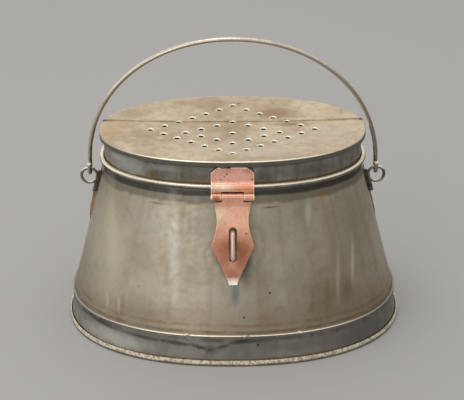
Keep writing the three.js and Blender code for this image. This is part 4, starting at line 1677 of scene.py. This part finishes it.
@dataclass
class Lid:
    """The lid: two dished plates with air holes, the skirt with its bead, and the wire in the bead."""

    edge_overhang: float = 2.75 * MM
    edge_drop: float = 2.9 * MM
    edge_round: float = 0.5 * MM
    dish: float = 1.5 * MM
    dish_reach_share: float = 0.95
    dish_power: float = 2.6
    ring_spacing: float = 1.25 * MM
    lap_front: float = 13.6 * MM
    lap_width: float = 3 * MM
    lap_rise: float = 0.66 * MM
    hole_radius: float = 1.8 * MM
    funnel_radius: float = 2.3 * MM
    funnel_depth: float = 0.6 * MM
    funnel_lip: float = 0.25 * MM
    outer_holes: Diamond = Diamond(54.8 * MM, 41.9 * MM, -0.6 * MM, 6)
    inner_holes: Diamond = Diamond(31.2 * MM, 18.5 * MM, -5.2 * MM, 3)
    middle_hole: float = -6.4 * MM
    bead_end: float = 110
    wave_depth: float = 0.10 * MM
    wave_length: float = 28 * MM
    finish: Material = field(default_factory=LID_TIN.material)
    dark_finish: Material = field(default_factory=DARK_TIN.material)
    wire_finish: Material = field(default_factory=WIRE.material)

    @property
    def curl_middle(self) -> tuple[float, float]:
        """The middle of the bead, at the lid's right end."""
        curl_radius = SHAPE.bead_radius - SHAPE.tin / 2
        return SHAPE.skirt_half_width - SHAPE.tin / 2 + curl_radius, SHAPE.bead_height

    @property
    def dish_reach(self) -> float:
        """The half width of the dish."""
        return SHAPE.skirt_half_width * self.dish_reach_share

    def dish_drop(self, width: float) -> float:
        """How far the dish lies below the lid's rim at a half width."""
        return self.dish * max(0.0, 1 - (width / self.dish_reach) ** self.dish_power)

    def top_profile(self) -> Profile:
        """The middle of the lid's sheet, from its turned-down edge in to its centre."""
        top = SHAPE.lid_top - SHAPE.tin / 2
        edge = SHAPE.skirt_half_width + self.edge_overhang - SHAPE.tin / 2
        down = stepped([(edge, top - self.edge_drop), (edge, top - self.edge_round)], 0.8 * MM)
        corner = arc((edge - self.edge_round, top - self.edge_round), self.edge_round, 0, 90, 22.5)
        steps = math.ceil((edge - self.edge_round) / self.ring_spacing)
        inwards = [(edge - self.edge_round) * (1 - i / steps) for i in range(1, steps)]
        return [*down, *corner[1:], *((width, top - self.dish_drop(width)) for width in inwards)]

    def hole_places(self) -> list[tuple[float, float]]:
        """The places of all the air holes."""
        return [*self.outer_holes.places(), *self.inner_holes.places(), (0, self.middle_hole)]

    def plate(self, name: str) -> Piece:
        """The whole lid top as a thin sheet.

        Args:
            name: The piece's name.

        Returns:
            The sheet.
        """
        piece = turned(name, self.top_profile(), filled=True)
        press_oval(piece)
        unevenness(piece, self.wave_depth, self.wave_length, 3.0)
        return piece

    def sheet_height(self, x: float, y: float) -> float:
        """The height of the dished sheet's top at a place."""
        depth = y * SHAPE.skirt_half_width / OVAL.half_depth(SHAPE.skirt_half_width, SHAPE.lid_top)
        width = (abs(x) ** OVAL.power + abs(depth) ** OVAL.power) ** (1 / OVAL.power)
        return SHAPE.lid_top - self.dish_drop(width)

    def punch(self, piece: Piece, holes: Sequence[tuple[float, float]]) -> Piece:
        """Cuts air holes through a plate and gives each the funnel that the punch pressed.

        Args:
            piece: The plate.
            holes: The holes' places.

        Returns:
            The plate with its funnels.
        """
        deselect_all()
        bpy.ops.mesh.primitive_cylinder_add(vertices=24, radius=self.funnel_radius, depth=12 * MM)
        master = bpy.context.object
        shifts = [Matrix.Translation((x, y, SHAPE.lid_top)) for x, y in self.hole_places()]
        tools = [copy_of(master, "punch", shift) for shift in shifts]
        bpy.data.objects.remove(master, do_unlink=True)
        cut(piece, join_up("punches", tools))
        funnel_line = [
            (self.funnel_radius + self.funnel_lip, 0),
            (self.funnel_radius, 0),
            (self.funnel_radius * 0.9, -0.25 * self.funnel_depth),
            (self.hole_radius, -self.funnel_depth),
        ]
        funnel = turned("funnel", funnel_line, steps=24)
        thicken(funnel, SHAPE.tin * 0.6, -1)
        shifts = [Matrix.Translation((x, y, self.sheet_height(x, y))) for x, y in holes]
        funnels = [copy_of(funnel, "funnel", shift) for shift in shifts]
        bpy.data.objects.remove(funnel, do_unlink=True)
        return join_up(piece.name, [piece, *funnels])

    def front_plate(self) -> Piece:
        """The plate that holds most of the holes."""
        piece = self.plate("lid_front")
        keep_side(piece, (0, self.lap_front + self.lap_width, 0), (0, 1, 0))
        thicken(piece, SHAPE.tin)
        front = [place for place in self.hole_places() if place[1] < self.lap_front]
        return self.punch(piece, front)

    def rear_plate(self) -> Piece:
        """The plate behind it, which steps up at the seam and laps over the front one."""
        piece = self.plate("lid_rear")
        keep_side(piece, (0, self.lap_front, 0), (0, -1, 0))
        seam = self.lap_front + self.lap_width + SHAPE.solder
        step_end = seam + SHAPE.tin
        score(piece, (0, seam, 0), (0, 1, 0))
        score(piece, (0, step_end, 0), (0, 1, 0))

        def lap(point: Vector, normal: Vector) -> Vector:
            """The lap's offset: upward on the flat of the lid and outward round its edge."""
            lapped = 1 - smooth_share(point.y, seam, step_end)
            way = Vector((0, 0, 1)) if abs(point.x) < self.dish_reach else normal
            return way * lapped * self.lap_rise

        push_points(piece, lap)
        thicken(piece, SHAPE.tin)
        rear = [place for place in self.hole_places() if place[1] >= self.lap_front]
        return self.punch(piece, rear)

    def skirt(self) -> Piece:
        """The skirt: a flange under the plates, the upright wall, and the bead round the rim wire."""
        flange = SHAPE.lid_top - 1.5 * SHAPE.tin - SHAPE.solder
        flange_end = SHAPE.skirt_half_width + self.edge_overhang - SHAPE.tin - SHAPE.solder
        middle = SHAPE.skirt_half_width - SHAPE.tin / 2
        wall = stepped([(flange_end, flange), (middle, flange), (middle, SHAPE.bead_height)], 2.5 * MM)
        curl = arc(self.curl_middle, SHAPE.bead_radius - SHAPE.tin / 2, -180, self.bead_end, 15)
        piece = turned("skirt", [*wall, *curl[1:]])
        press_oval(piece)
        thicken(piece, SHAPE.tin)
        return piece

    def rim_wire(self) -> Piece:
        """The wire inside the bead."""
        radius = SHAPE.bead_radius - SHAPE.tin - SHAPE.solder
        piece = turned("rim_wire", arc(self.curl_middle, radius, 0, 345, 15), closed=True)
        press_oval(piece)
        return piece

    def build(self) -> None:
        """Builds the lid."""
        for piece, node in ((self.front_plate(), "lid_front_plate"), (self.rear_plate(), "lid_rear_plate")):
            hand_over(piece, self.finish, Place(Carrier.LID, Stock.LID_TIN, node))
        hand_over(self.skirt(), self.dark_finish, Place(Carrier.LID, Stock.DARK_TIN, "lid_skirt"))
        hand_over(self.rim_wire(), self.wire_finish, Place(Carrier.LID, Stock.WIRE, "lid_rim_wire"))


@dataclass
class Hinges:
    """The copper hinges, at the front for the hasp and at the rear for the lid."""

    mid_knuckle: float = 14 * MM
    running: float = 0.3 * MM
    pin_proud: float = 0.3 * MM
    lid_leaf_drop: float = 4.6 * MM
    chamfer_width: float = 4.6 * MM
    chamfer_height: float = 3.9 * MM
    notch_rise: float = 3.3 * MM
    notch_foot: float = 100 * MM
    row_height: float = 1.2 * MM
    columns: int = 28
    softness: float = 0.16 * MM
    pin_softness: float = 0.3 * MM
    body_leaf_length: float = 22.3 * MM
    body_leaf_bend: float = 6.3 * MM
    shoulder_drop: float = 2.6 * MM
    shoulder_half_width: float = 12.2 * MM
    crease_drop: float = 5.3 * MM
    waist_drop: float = 15.3 * MM
    waist_half_width: float = 10.2 * MM
    wide_drop: float = 31.3 * MM
    wide_half_width: float = 13.9 * MM
    taper_drop: float = 52.7 * MM
    taper_half_width: float = 3.9 * MM
    tip_drop: float = 55.9 * MM
    tip_half_width: float = 2.6 * MM
    tip_flare: float = 3 * MM
    wall_gap: float = 1.1 * MM
    slot_half_width: float = 2.7 * MM
    slot_top: float = 92.6 * MM
    slot_foot: float = 69.6 * MM
    finish: Material = field(default_factory=COPPER.material)

    @property
    def reach(self) -> float:
        """How far forward the cutting blocks go, to pass every knuckle."""
        return SHAPE.hinge_depth + 3 * SHAPE.knuckle_radius

    def chamfer(self, piece: Piece, height: float, way: int) -> None:
        """Cuts off two corners of a leaf's sheet.

        Args:
            piece: The sheet.
            height: Where the cuts meet its sides.
            way: 1 for the corners above, -1 for those below.
        """
        for sign in (1, -1):
            corner = (sign * SHAPE.leaf_width / 2, 0, height)
            keep_side(piece, corner, (sign * self.chamfer_height, 0, way * self.chamfer_width))

    def keep_middle_knuckle(self, piece: Piece) -> None:
        """Cuts a leaf back at both sides of its middle knuckle."""
        foot = SHAPE.hinge_height - self.shoulder_drop
        for sign in (1, -1):
            near, far = sorted((sign * self.mid_knuckle / 2, sign * SHAPE.leaf_width))
            cut(piece, block((near, -self.reach, foot), (far, 0, SHAPE.lid_top)))

    def lid_leaf(self, name: str) -> Piece:
        """A leaf on the skirt, over the bead and round the pin, with a notch between its knuckles.

        Args:
            name: The piece's name.

        Returns:
            The leaf, at the front.
        """
        half = SHAPE.copper / 2
        skirt_half_depth = OVAL.half_depth(SHAPE.skirt_half_width, SHAPE.lid_top)
        on_skirt = skirt_half_depth + SHAPE.solder + half
        top = SHAPE.lid_top - self.lid_leaf_drop
        over = SHAPE.bead_radius + SHAPE.solder + half
        bead_depth = skirt_half_depth - SHAPE.tin + SHAPE.bead_radius
        start = [(on_skirt, top), (on_skirt, SHAPE.bead_height + 1.5 * over)]
        line = stepped(start, self.row_height) + arc((bead_depth, SHAPE.bead_height), over, 75, -10, 9)
        line += arc((SHAPE.hinge_depth, SHAPE.hinge_height), SHAPE.knuckle_radius, 180, 450, 12)
        piece = bent_strip(name, line, SHAPE.leaf_width, self.columns)
        self.chamfer(piece, top - self.chamfer_height, 1)
        thicken(piece, SHAPE.copper)
        notch = self.mid_knuckle / 2 + self.running
        notch_top = SHAPE.hinge_height + self.notch_rise
        cut(piece, block((-notch, -self.reach, self.notch_foot), (notch, 0, notch_top)))
        soften_edges(piece, self.softness)
        return piece

    def hasp_half_width(self, drop: float) -> float:
        """The hasp leaf's half width at a drop below its pin."""
        if drop <= self.shoulder_drop:
            return self.shoulder_half_width
        if drop <= self.waist_drop:
            share = smooth_share(drop, self.shoulder_drop - 4 * MM, self.waist_drop)
            return lerp(self.shoulder_half_width, self.waist_half_width, share)
        if drop <= self.wide_drop:
            share = (drop - self.waist_drop) / (self.wide_drop - self.waist_drop)
            return lerp(self.waist_half_width, self.wide_half_width, share**1.5)
        if drop <= self.taper_drop:
            share = (drop - self.wide_drop) / (self.taper_drop - self.wide_drop)
            return lerp(self.wide_half_width, self.taper_half_width, share)
        share = min(1.0, (drop - self.taper_drop) / (self.tip_drop - self.taper_drop))
        return lerp(self.taper_half_width, self.tip_half_width, share)

    def hasp_leaf(self) -> Piece:
        """The hasp: a knuckle, a crease, a waisted leaf with a slot, and a tip that flares forward."""
        half = SHAPE.copper / 2
        crease = (SHAPE.hinge_depth + SHAPE.knuckle_radius, SHAPE.hinge_height - self.crease_drop)
        taper_height = SHAPE.hinge_height - self.taper_drop
        taper = (SHAPE.wall_half_depth(taper_height) + self.wall_gap + half, taper_height)
        tip = (taper[0] + self.tip_flare, SHAPE.hinge_height - self.tip_drop)
        curl = arc((SHAPE.hinge_depth, SHAPE.hinge_height), SHAPE.knuckle_radius, 270, 0, 12)
        line = curl + stepped([curl[-1], crease, taper, tip], 0.8 * MM)[1:]
        piece = bent_strip("hasp", line, 2 * self.shoulder_half_width, 24)

        def shaped(point: Vector) -> Vector:
            """The point, drawn in or out to the leaf's outline."""
            width = self.hasp_half_width(SHAPE.hinge_height - point.z) / self.shoulder_half_width
            return Vector((point.x * width, point.y, point.z))

        move_points(piece, shaped)
        thicken(piece, SHAPE.copper)
        self.keep_middle_knuckle(piece)
        cut(piece, self.slot_punch())
        soften_edges(piece, self.softness)
        return piece

    def slot_punch(self) -> Piece:
        """A punch with round ends, for the hasp's slot."""
        deselect_all()
        foot = self.slot_foot + self.slot_half_width
        length = self.slot_top - self.slot_half_width - foot
        bpy.ops.mesh.primitive_cylinder_add(
            vertices=32,
            radius=self.slot_half_width,
            depth=cad_high.y,
            location=(0, -cad_high.y * 0.75, foot),
            rotation=(math.pi / 2, 0, 0),
        )
        tool = bpy.context.object
        settle(tool)
        with editing(tool):
            select_points(tool, lambda point: point.z > foot + 0.01 * MM)
            bpy.ops.transform.translate(value=(0, 0, length))
        return tool

    def body_leaf(self) -> Piece:
        """The rear hinge's leaf on the wall, made at the front and turned to the rear."""
        half = SHAPE.copper / 2
        foot = SHAPE.hinge_height - self.body_leaf_length
        bend = SHAPE.hinge_height - self.body_leaf_bend
        on_wall = [(SHAPE.wall_half_depth(z) + SHAPE.solder + half, z) for z in (foot, bend)]
        curl = arc((SHAPE.hinge_depth, SHAPE.hinge_height), SHAPE.knuckle_radius, 180, -90, 12)
        line = stepped([*on_wall, curl[0]], self.row_height) + curl[1:]
        piece = bent_strip("rear_body_leaf", line, SHAPE.leaf_width, self.columns)
        self.chamfer(piece, foot + self.chamfer_height, -1)
        thicken(piece, SHAPE.copper)
        self.keep_middle_knuckle(piece)
        soften_edges(piece, self.softness)
        piece.data.transform(Matrix.Rotation(math.pi, 4, "Z"))
        return piece

    def pin(self, name: str, depth: float) -> Piece:
        """A pin across the tin.

        Args:
            name: The piece's name.
            depth: Its place along Y.

        Returns:
            The pin.
        """
        deselect_all()
        bpy.ops.mesh.primitive_cylinder_add(
            vertices=32,
            radius=SHAPE.pin_radius,
            depth=SHAPE.leaf_width + 2 * self.pin_proud,
            location=(0, depth, SHAPE.hinge_height),
            rotation=(0, math.pi / 2, 0),
        )
        piece = bpy.context.object
        piece.name = name
        settle(piece)
        soften_edges(piece, self.pin_softness, 3)
        return piece

    def build(self) -> None:
        """Builds both hinges and the hasp."""
        front_leaf = self.lid_leaf("front_lid_leaf")
        rear_leaf = copy_of(front_leaf, "rear_lid_leaf", Matrix.Rotation(math.pi, 4, "Z"))
        for piece, carrier, node in (
            (front_leaf, Carrier.LID, "hasp_lid_leaf"),
            (rear_leaf, Carrier.LID, "hinge_lid_leaf"),
            (self.hasp_leaf(), Carrier.HASP, "hasp_leaf"),
            (self.body_leaf(), Carrier.BODY, "hinge_body_leaf"),
            (self.pin("front_pin", -SHAPE.hinge_depth), Carrier.LID, "hasp_pin"),
            (self.pin("rear_pin", SHAPE.hinge_depth), Carrier.BODY, "hinge_pin"),
        ):
            hand_over(piece, self.finish, Place(carrier, Stock.COPPER, node))


@dataclass
class Staple:
    """The copper wire staple that the hasp drops over, clinched behind the wall."""

    radius: float = 1.4 * MM
    height: float = 79.7 * MM
    span: float = 17.2 * MM
    reach: float = 9.5 * MM
    corner: float = 2.6 * MM
    clinch_depth: float = 2.7 * MM
    clinch_length: float = 5 * MM
    finish: Material = field(default_factory=STAPLE_COPPER.material)

    def route(self) -> list[Vector]:
        """The wire's middle line, from one clinched end to the other."""
        half = self.span / 2
        corner = (half - self.corner, self.reach - self.corner)
        clinch = [(1, 1), (0.5, 1), (0.2, 0.95), (0.05, 0.75), (0, 0.25)]
        upper = [(half + along * self.clinch_length, -behind * self.clinch_depth) for along, behind in clinch]
        upper += [(half, corner[1] * 0.3), (half, corner[1] * 0.65), *arc(corner, self.corner, 0, 90, 10)]
        line = upper + [(-along, out) for along, out in reversed(upper)]
        run = SHAPE.wall_half_depth(SHAPE.wall_turn) - SHAPE.wall_half_depth(SHAPE.wall_top)
        slope = math.atan2(run, SHAPE.wall_top - SHAPE.wall_turn)
        face = SHAPE.wall_half_depth(self.height)
        cos, sin = math.cos(slope), math.sin(slope)
        return [
            Vector((0, -(face + out * cos - along * sin), self.height + out * sin + along * cos))
            for along, out in line
        ]

    def build(self) -> None:
        """Builds the staple."""
        piece = wire_along("staple", self.route(), self.radius, 5)
        hand_over(piece, self.finish, Place(Carrier.BODY, Stock.COPPER, "hasp_staple"))


@dataclass
class Ears:
    """The two wire eyes that carry the bail, each on a soldered patch."""

    wire_radius: float = 1 * MM
    eye_radius: float = 5.3 * MM
    eye_height: float = 100.8 * MM
    eye_middle: float = 96.98 * MM
    end_angle: float = -150
    leg_low: float = 88.6 * MM
    patch_low: float = 90.4 * MM
    patch_high: float = 106 * MM
    patch_width: float = 10 * MM
    patch_grip: float = 0.1 * MM
    patch_softness: float = 0.15 * MM
    finish: Material = field(default_factory=EYE_WIRE.material)
    patch_finish: Material = field(default_factory=BROWN_SOLDER.material)

    def eye(self, side: Side) -> Piece:
        """The wire eye at one side.

        Args:
            side: Which side.

        Returns:
            The eye with its leg.
        """
        room = 2 * SHAPE.solder + SHAPE.tin + self.patch_grip + self.wire_radius
        leg_top = self.eye_height - self.eye_radius / 2
        heights = [lerp(self.leg_low, leg_top, i / 6) for i in range(7)]
        leg = [(SHAPE.wall_half_width(height) + room, height) for height in heights]
        loop = arc((self.eye_middle, self.eye_height), self.eye_radius, 180, self.end_angle, 8)
        route = [Vector((side.value * x, 0, z)) for x, z in [*leg, *loop]]
        return wire_along(f"{side.word}_eye", route, self.wire_radius)

    def patch(self, side: Side) -> Piece:
        """The tin patch under one ear.

        Args:
            side: Which side.

        Returns:
            The patch.
        """
        ends = (self.patch_low, self.patch_high)
        line = [(SHAPE.wall_half_width(z) + SHAPE.solder + SHAPE.tin / 2, z) for z in ends]
        piece = turned(f"{side.word}_patch", stepped(line, 2 * MM))
        press_oval(piece)
        keep_side(piece, (0, 0, 0), (-side.value, 0, 0))
        for sign in (1, -1):
            keep_side(piece, (0, sign * self.patch_width / 2, 0), (0, sign, 0))
        thicken(piece, SHAPE.tin)
        soften_edges(piece, self.patch_softness)
        return piece

    def build(self) -> None:
        """Builds both ears."""
        for side in Side:
            patch_place = Place(Carrier.BODY, Stock.DARK_TIN, f"{side.word}_ear_patch")
            hand_over(self.patch(side), self.patch_finish, patch_place)
            hand_over(self.eye(side), self.finish, Place(Carrier.BODY, Stock.WIRE, f"{side.word}_ear_eye"))


@dataclass(frozen=True)
class Drop:
    """A drop of solder: where it stands on the front of the tin, and its half sizes, in millimetres."""

    across: float
    height: float
    reach_across: float
    reach_up: float
    proud: float
    seed: float


@dataclass
class Solder:
    """The lumps and runs of solder at the foot, the hasp's leaf and the ears."""

    foot_half_width: float = 111.2 * MM
    leaf_half_width: float = 86.5 * MM
    foot_drops: tuple[Drop, ...] = (
        Drop(-31, 21.5, 2.4, 0.9, 1.0, 1.0),
        Drop(8, 21.4, 3.0, 1.0, 1.1, 2.0),
        Drop(44, 21.3, 2.2, 0.8, 0.8, 3.0),
    )
    leaf_drops: tuple[Drop, ...] = (
        Drop(-6.6, 130.5, 2.6, 1.3, 1.2, 8.0),
        Drop(-3.0, 130.0, 2.0, 0.8, 1.3, 9.0),
        Drop(-9.8, 128.6, 1.6, 1.6, 1.1, 10.0),
        Drop(3.4, 130.9, 4.6, 0.7, 1.0, 11.0),
        Drop(11.8, 127.8, 1.5, 1.7, 1.0, 12.0),
    )
    ridge_high: float = 91 * MM
    ridge_low: float = 60 * MM
    ridge_proud: float = 2.7 * MM
    ridge_right_share: float = 0.55
    ridge_width: float = 4.4 * MM
    ridge_sink: float = 0.3 * MM
    ridge_least_swell: float = 0.12
    ridge_voxel: float = 0.06
    ridge_wave_depth: float = 0.35 * MM
    ridge_wave_length: float = 4 * MM
    ear_proud: float = 1.4 * MM
    ear_out: float = 1.2 * MM
    ear_half_width: float = 2.3 * MM
    ear_half_height: float = 2.6 * MM
    ear_heights: tuple[float, ...] = (91.0 * MM, 94.5 * MM, 98.0 * MM, 101.5 * MM)
    finish: Material = field(default_factory=SOLDER.material)
    foot_finish: Material = field(default_factory=BRIGHT_SOLDER.material)
    ear_finish: Material = field(default_factory=BROWN_SOLDER.material)
    rust_finish: Material = field(default_factory=RUSTY_SOLDER.material)

    def drops(self, name: str, drops: Sequence[Drop], half_width: float) -> Piece:
        """Drops on the front of the tin, as one piece.

        Args:
            name: The piece's name.
            drops: The drops.
            half_width: The half width of the outline that they stand on.

        Returns:
            The drops.
        """
        parts = []
        for drop in drops:
            across, height = drop.across * MM, drop.height * MM
            side = (abs(across) / half_width) ** OVAL.power
            depth = OVAL.half_depth(half_width, height) * (1 - side) ** (1 / OVAL.power)
            reach = Vector((drop.reach_across, drop.proud, drop.reach_up)) * MM
            parts.append(lump(Vector((across, -depth, height)), reach, drop.seed))
        return join_up(name, parts)

    def ridge(self, side: Side) -> Piece:
        """The rusty run of solder down a side seam, below the ear's leg.

        Args:
            side: Which side.

        Returns:
            The run.
        """
        deselect_all()
        bpy.ops.mesh.primitive_cylinder_add(vertices=20, radius=1, depth=1)
        piece = bpy.context.object
        piece.name = f"{side.word}_seam_run"
        apply_modifier(piece, "REMESH", mode="VOXEL", voxel_size=self.ridge_voxel)
        span = self.ridge_high - self.ridge_low
        proud = self.ridge_proud * (1.0 if side is Side.LEFT else self.ridge_right_share)

        def place(point: Vector) -> Vector:
            """The run's place for a point of the rod."""
            share = point.z + 0.5
            height = self.ridge_low + share * span
            swell = smooth_share(share, 0, 0.75) * (1 - 0.5 * smooth_share(share, 0.9, 1.0))
            # The foot of the run, hidden in the wall, keeps some width so that its points don't merge.
            swell = max(self.ridge_least_swell, swell)
            out = SHAPE.wall_half_width(height) - self.ridge_sink + point.x * proud * swell
            return Vector((side.value * out, point.y * self.ridge_width / 2 * (0.35 + 0.65 * swell), height))

        move_points(piece, place)
        tidy_faces(piece)
        unevenness(piece, self.ridge_wave_depth, self.ridge_wave_length, 14.0 + side.value)
        return piece

    def ear_mass(self, side: Side) -> Piece:
        """The dark solder that holds an ear's leg to its patch.

        Args:
            side: Which side.

        Returns:
            The solder.
        """
        parts = []
        reach = (self.ear_proud, self.ear_half_width, self.ear_half_height)
        for i, height in enumerate(self.ear_heights):
            across = SHAPE.wall_half_width(height) + self.ear_out
            parts.append(lump(Vector((side.value * across, 0, height)), reach, 20.0 + i + side.value))
        return join_up(f"{side.word}_ear_solder", parts)

    def build(self) -> None:
        """Adds the solder."""
        dark = Place(Carrier.BODY, Stock.DARK_TIN)
        on_foot = self.drops("foot_solder", self.foot_drops, self.foot_half_width)
        hand_over(on_foot, self.foot_finish, dark)
        on_leaf = self.drops("leaf_solder", self.leaf_drops, self.leaf_half_width)
        hand_over(on_leaf, self.finish, Place(Carrier.LID, Stock.DARK_TIN))
        for side in Side:
            hand_over(self.ridge(side), self.rust_finish, dark)
            hand_over(self.ear_mass(side), self.ear_finish, dark)


@dataclass
class Bail:
    """The wire bail: a hook at each end and an arch between them, leaning forward."""

    radius: float = 1.45 * MM
    pivot_height: float = 106.1 * MM
    lean: float = 16
    hook_radius: float = 3 * MM
    hook_tip: float = 6 * MM
    half_span: float = 96.38 * MM
    rise: float = 102.9 * MM
    power: float = 2.07
    arch_steps: int = 120
    finish: Material = field(default_factory=WIRE.material)

    def route(self) -> list[Vector]:
        """The wire's middle line from one free end to the other."""
        tip = [Vector((self.half_span, -self.hook_radius, z)) for z in (self.hook_tip, self.hook_tip / 2)]
        hook = [Vector((self.half_span, y, z)) for y, z in arc((0, 0), self.hook_radius, 180, 360, 15)[:-1]]
        arch = []
        for i in range(self.arch_steps + 1):
            angle = math.pi * i / self.arch_steps
            across = self.half_span * signed_power(math.cos(angle), 2 / self.power)
            arch.append(Vector((across, self.hook_radius, self.rise * math.sin(angle) ** (2 / self.power))))
        right = tip + hook
        left = [Vector((-point.x, point.y, point.z)) for point in reversed(right)]
        lean = Matrix.Rotation(math.radians(self.lean), 4, "X")
        pivot = Vector((0, 0, self.pivot_height))
        return [pivot + lean @ point for point in right + arch + left]

    def build(self) -> None:
        """Builds the bail."""
        piece = wire_along("bail", self.route(), self.radius, 6)
        hand_over(piece, self.finish, Place(Carrier.BAIL, Stock.WIRE, "bail_wire"))


# The studio


@dataclass(frozen=True)
class Viewpoint:
    """The photograph's camera, in the tin's own frame."""

    distance: float = 1119 * MM
    elevation: float = 25.97
    turn: float = 0.19
    roll: float = -0.40
    target_height: float = 60 * MM
    focal_pixels: float = 1627
    image_width: float = 464
    right_pixels: float = 1.13
    down_pixels: float = 28.38
    sensor: float = 36

    def set_up(self) -> None:
        """Stands the camera at its place."""
        rise, turn = math.radians(self.elevation), math.radians(self.turn)
        back = Vector((math.sin(turn) * math.cos(rise), -math.cos(turn) * math.cos(rise), math.sin(rise)))
        camera = bpy.data.objects.new("camera", bpy.data.cameras.new("camera"))
        bpy.context.scene.collection.objects.link(camera)
        facing = back.to_track_quat("Z", "Y").to_matrix().to_4x4()
        roll = Matrix.Rotation(math.radians(self.roll), 4, "Z")
        place = Vector((0, 0, self.target_height)) + back * self.distance
        camera.matrix_world = Matrix.Translation(place) @ facing @ roll
        camera.data.sensor_width = self.sensor
        camera.data.lens = self.focal_pixels / self.image_width * self.sensor
        camera.data.shift_x = -self.right_pixels / self.image_width
        camera.data.shift_y = self.down_pixels / self.image_width
        camera.data.clip_start = 0.05
        bpy.context.scene.camera = camera


@dataclass(frozen=True)
class Softbox:
    """A square lamp that faces the middle of the tin."""

    name: str
    place: tuple[float, float, float]
    size: float
    watts: float
    colour: Colour = (1.0, 0.98, 0.95)
    aim: tuple[float, float, float] = (0, 0, 80 * MM)

    def set_up(self) -> None:
        """Hangs the lamp."""
        data = bpy.data.lights.new(self.name, "AREA")
        data.size = self.size
        data.energy = self.watts
        data.color = self.colour
        lamp = bpy.data.objects.new(self.name, data)
        bpy.context.scene.collection.objects.link(lamp)
        lamp.location = self.place
        way = Vector(self.aim) - Vector(self.place)
        lamp.rotation_mode = "QUATERNION"
        lamp.rotation_quaternion = way.to_track_quat("-Z", "Y")


@dataclass(frozen=True)
class Studio:
    """A pale floor, soft lamps and a plain sky."""

    floor_size: float = 8
    floor_colour: Colour = (0.44, 0.43, 0.425)
    floor_roughness: float = 0.9
    sky_colour: Colour = (1, 0.99, 0.97)
    horizon_light: float = 0.84
    zenith_light: float = 0.80
    left_light: float = 0.48
    softboxes: tuple[Softbox, ...] = (
        Softbox("overhead", (-0.2, -0.1, 1.25), 0.6, 2.5),
        Softbox("front_left", (-0.8, -1.7, 0.6), 0.9, 4),
    )

    def floor(self) -> None:
        """Lays the floor."""
        deselect_all()
        bpy.ops.mesh.primitive_plane_add(size=self.floor_size)
        floor = bpy.context.object
        floor.name = "floor"
        surface = Surface("floor_board", scaled(self.floor_colour, 0.96))
        surface.lay(self.floor_colour, surface.noise(surface.where, 3.0, 2, 0.5))
        surface.feed(surface.shader.inputs["Base Color"], surface.colour)
        surface.shader.inputs["Roughness"].default_value = self.floor_roughness
        floor.data.materials.append(surface.material)

    def sky(self) -> None:
        """Sets the plain sky."""
        world = bpy.data.worlds.new("studio_sky")
        world.use_nodes = True
        bpy.context.scene.world = world
        board = NodeBoard(world.node_tree)
        x, _, z = board.split(board.coordinates("Generated"))
        level = board.ramp(z, 0.0, 0.7, self.horizon_light, self.zenith_light)
        side = board.times(x, board.ramp(z, 0.1, 0.7, -self.left_light, 0.0))
        background = world.node_tree.nodes["Background"]
        board.feed(background.inputs["Color"], self.sky_colour)
        board.feed(background.inputs["Strength"], board.plus(level, side))

    def set_up(self) -> None:
        """Sets up the studio."""
        bpy.context.scene.view_settings.view_transform = "Standard"
        self.floor()
        self.sky()
        for softbox in self.softboxes:
            softbox.set_up()
        Viewpoint().set_up()


def main() -> None:
    """Builds the tin and its studio."""
    logging.basicConfig(level=logging.INFO, format="%(message)s")
    Studio().set_up()
    for assembly in (Body(), Lid(), Hinges(), Staple(), Ears(), Solder(), Bail()):
        log.info("%s", type(assembly).__name__)
        assembly.build()


if __name__ == "__main__":
    main()
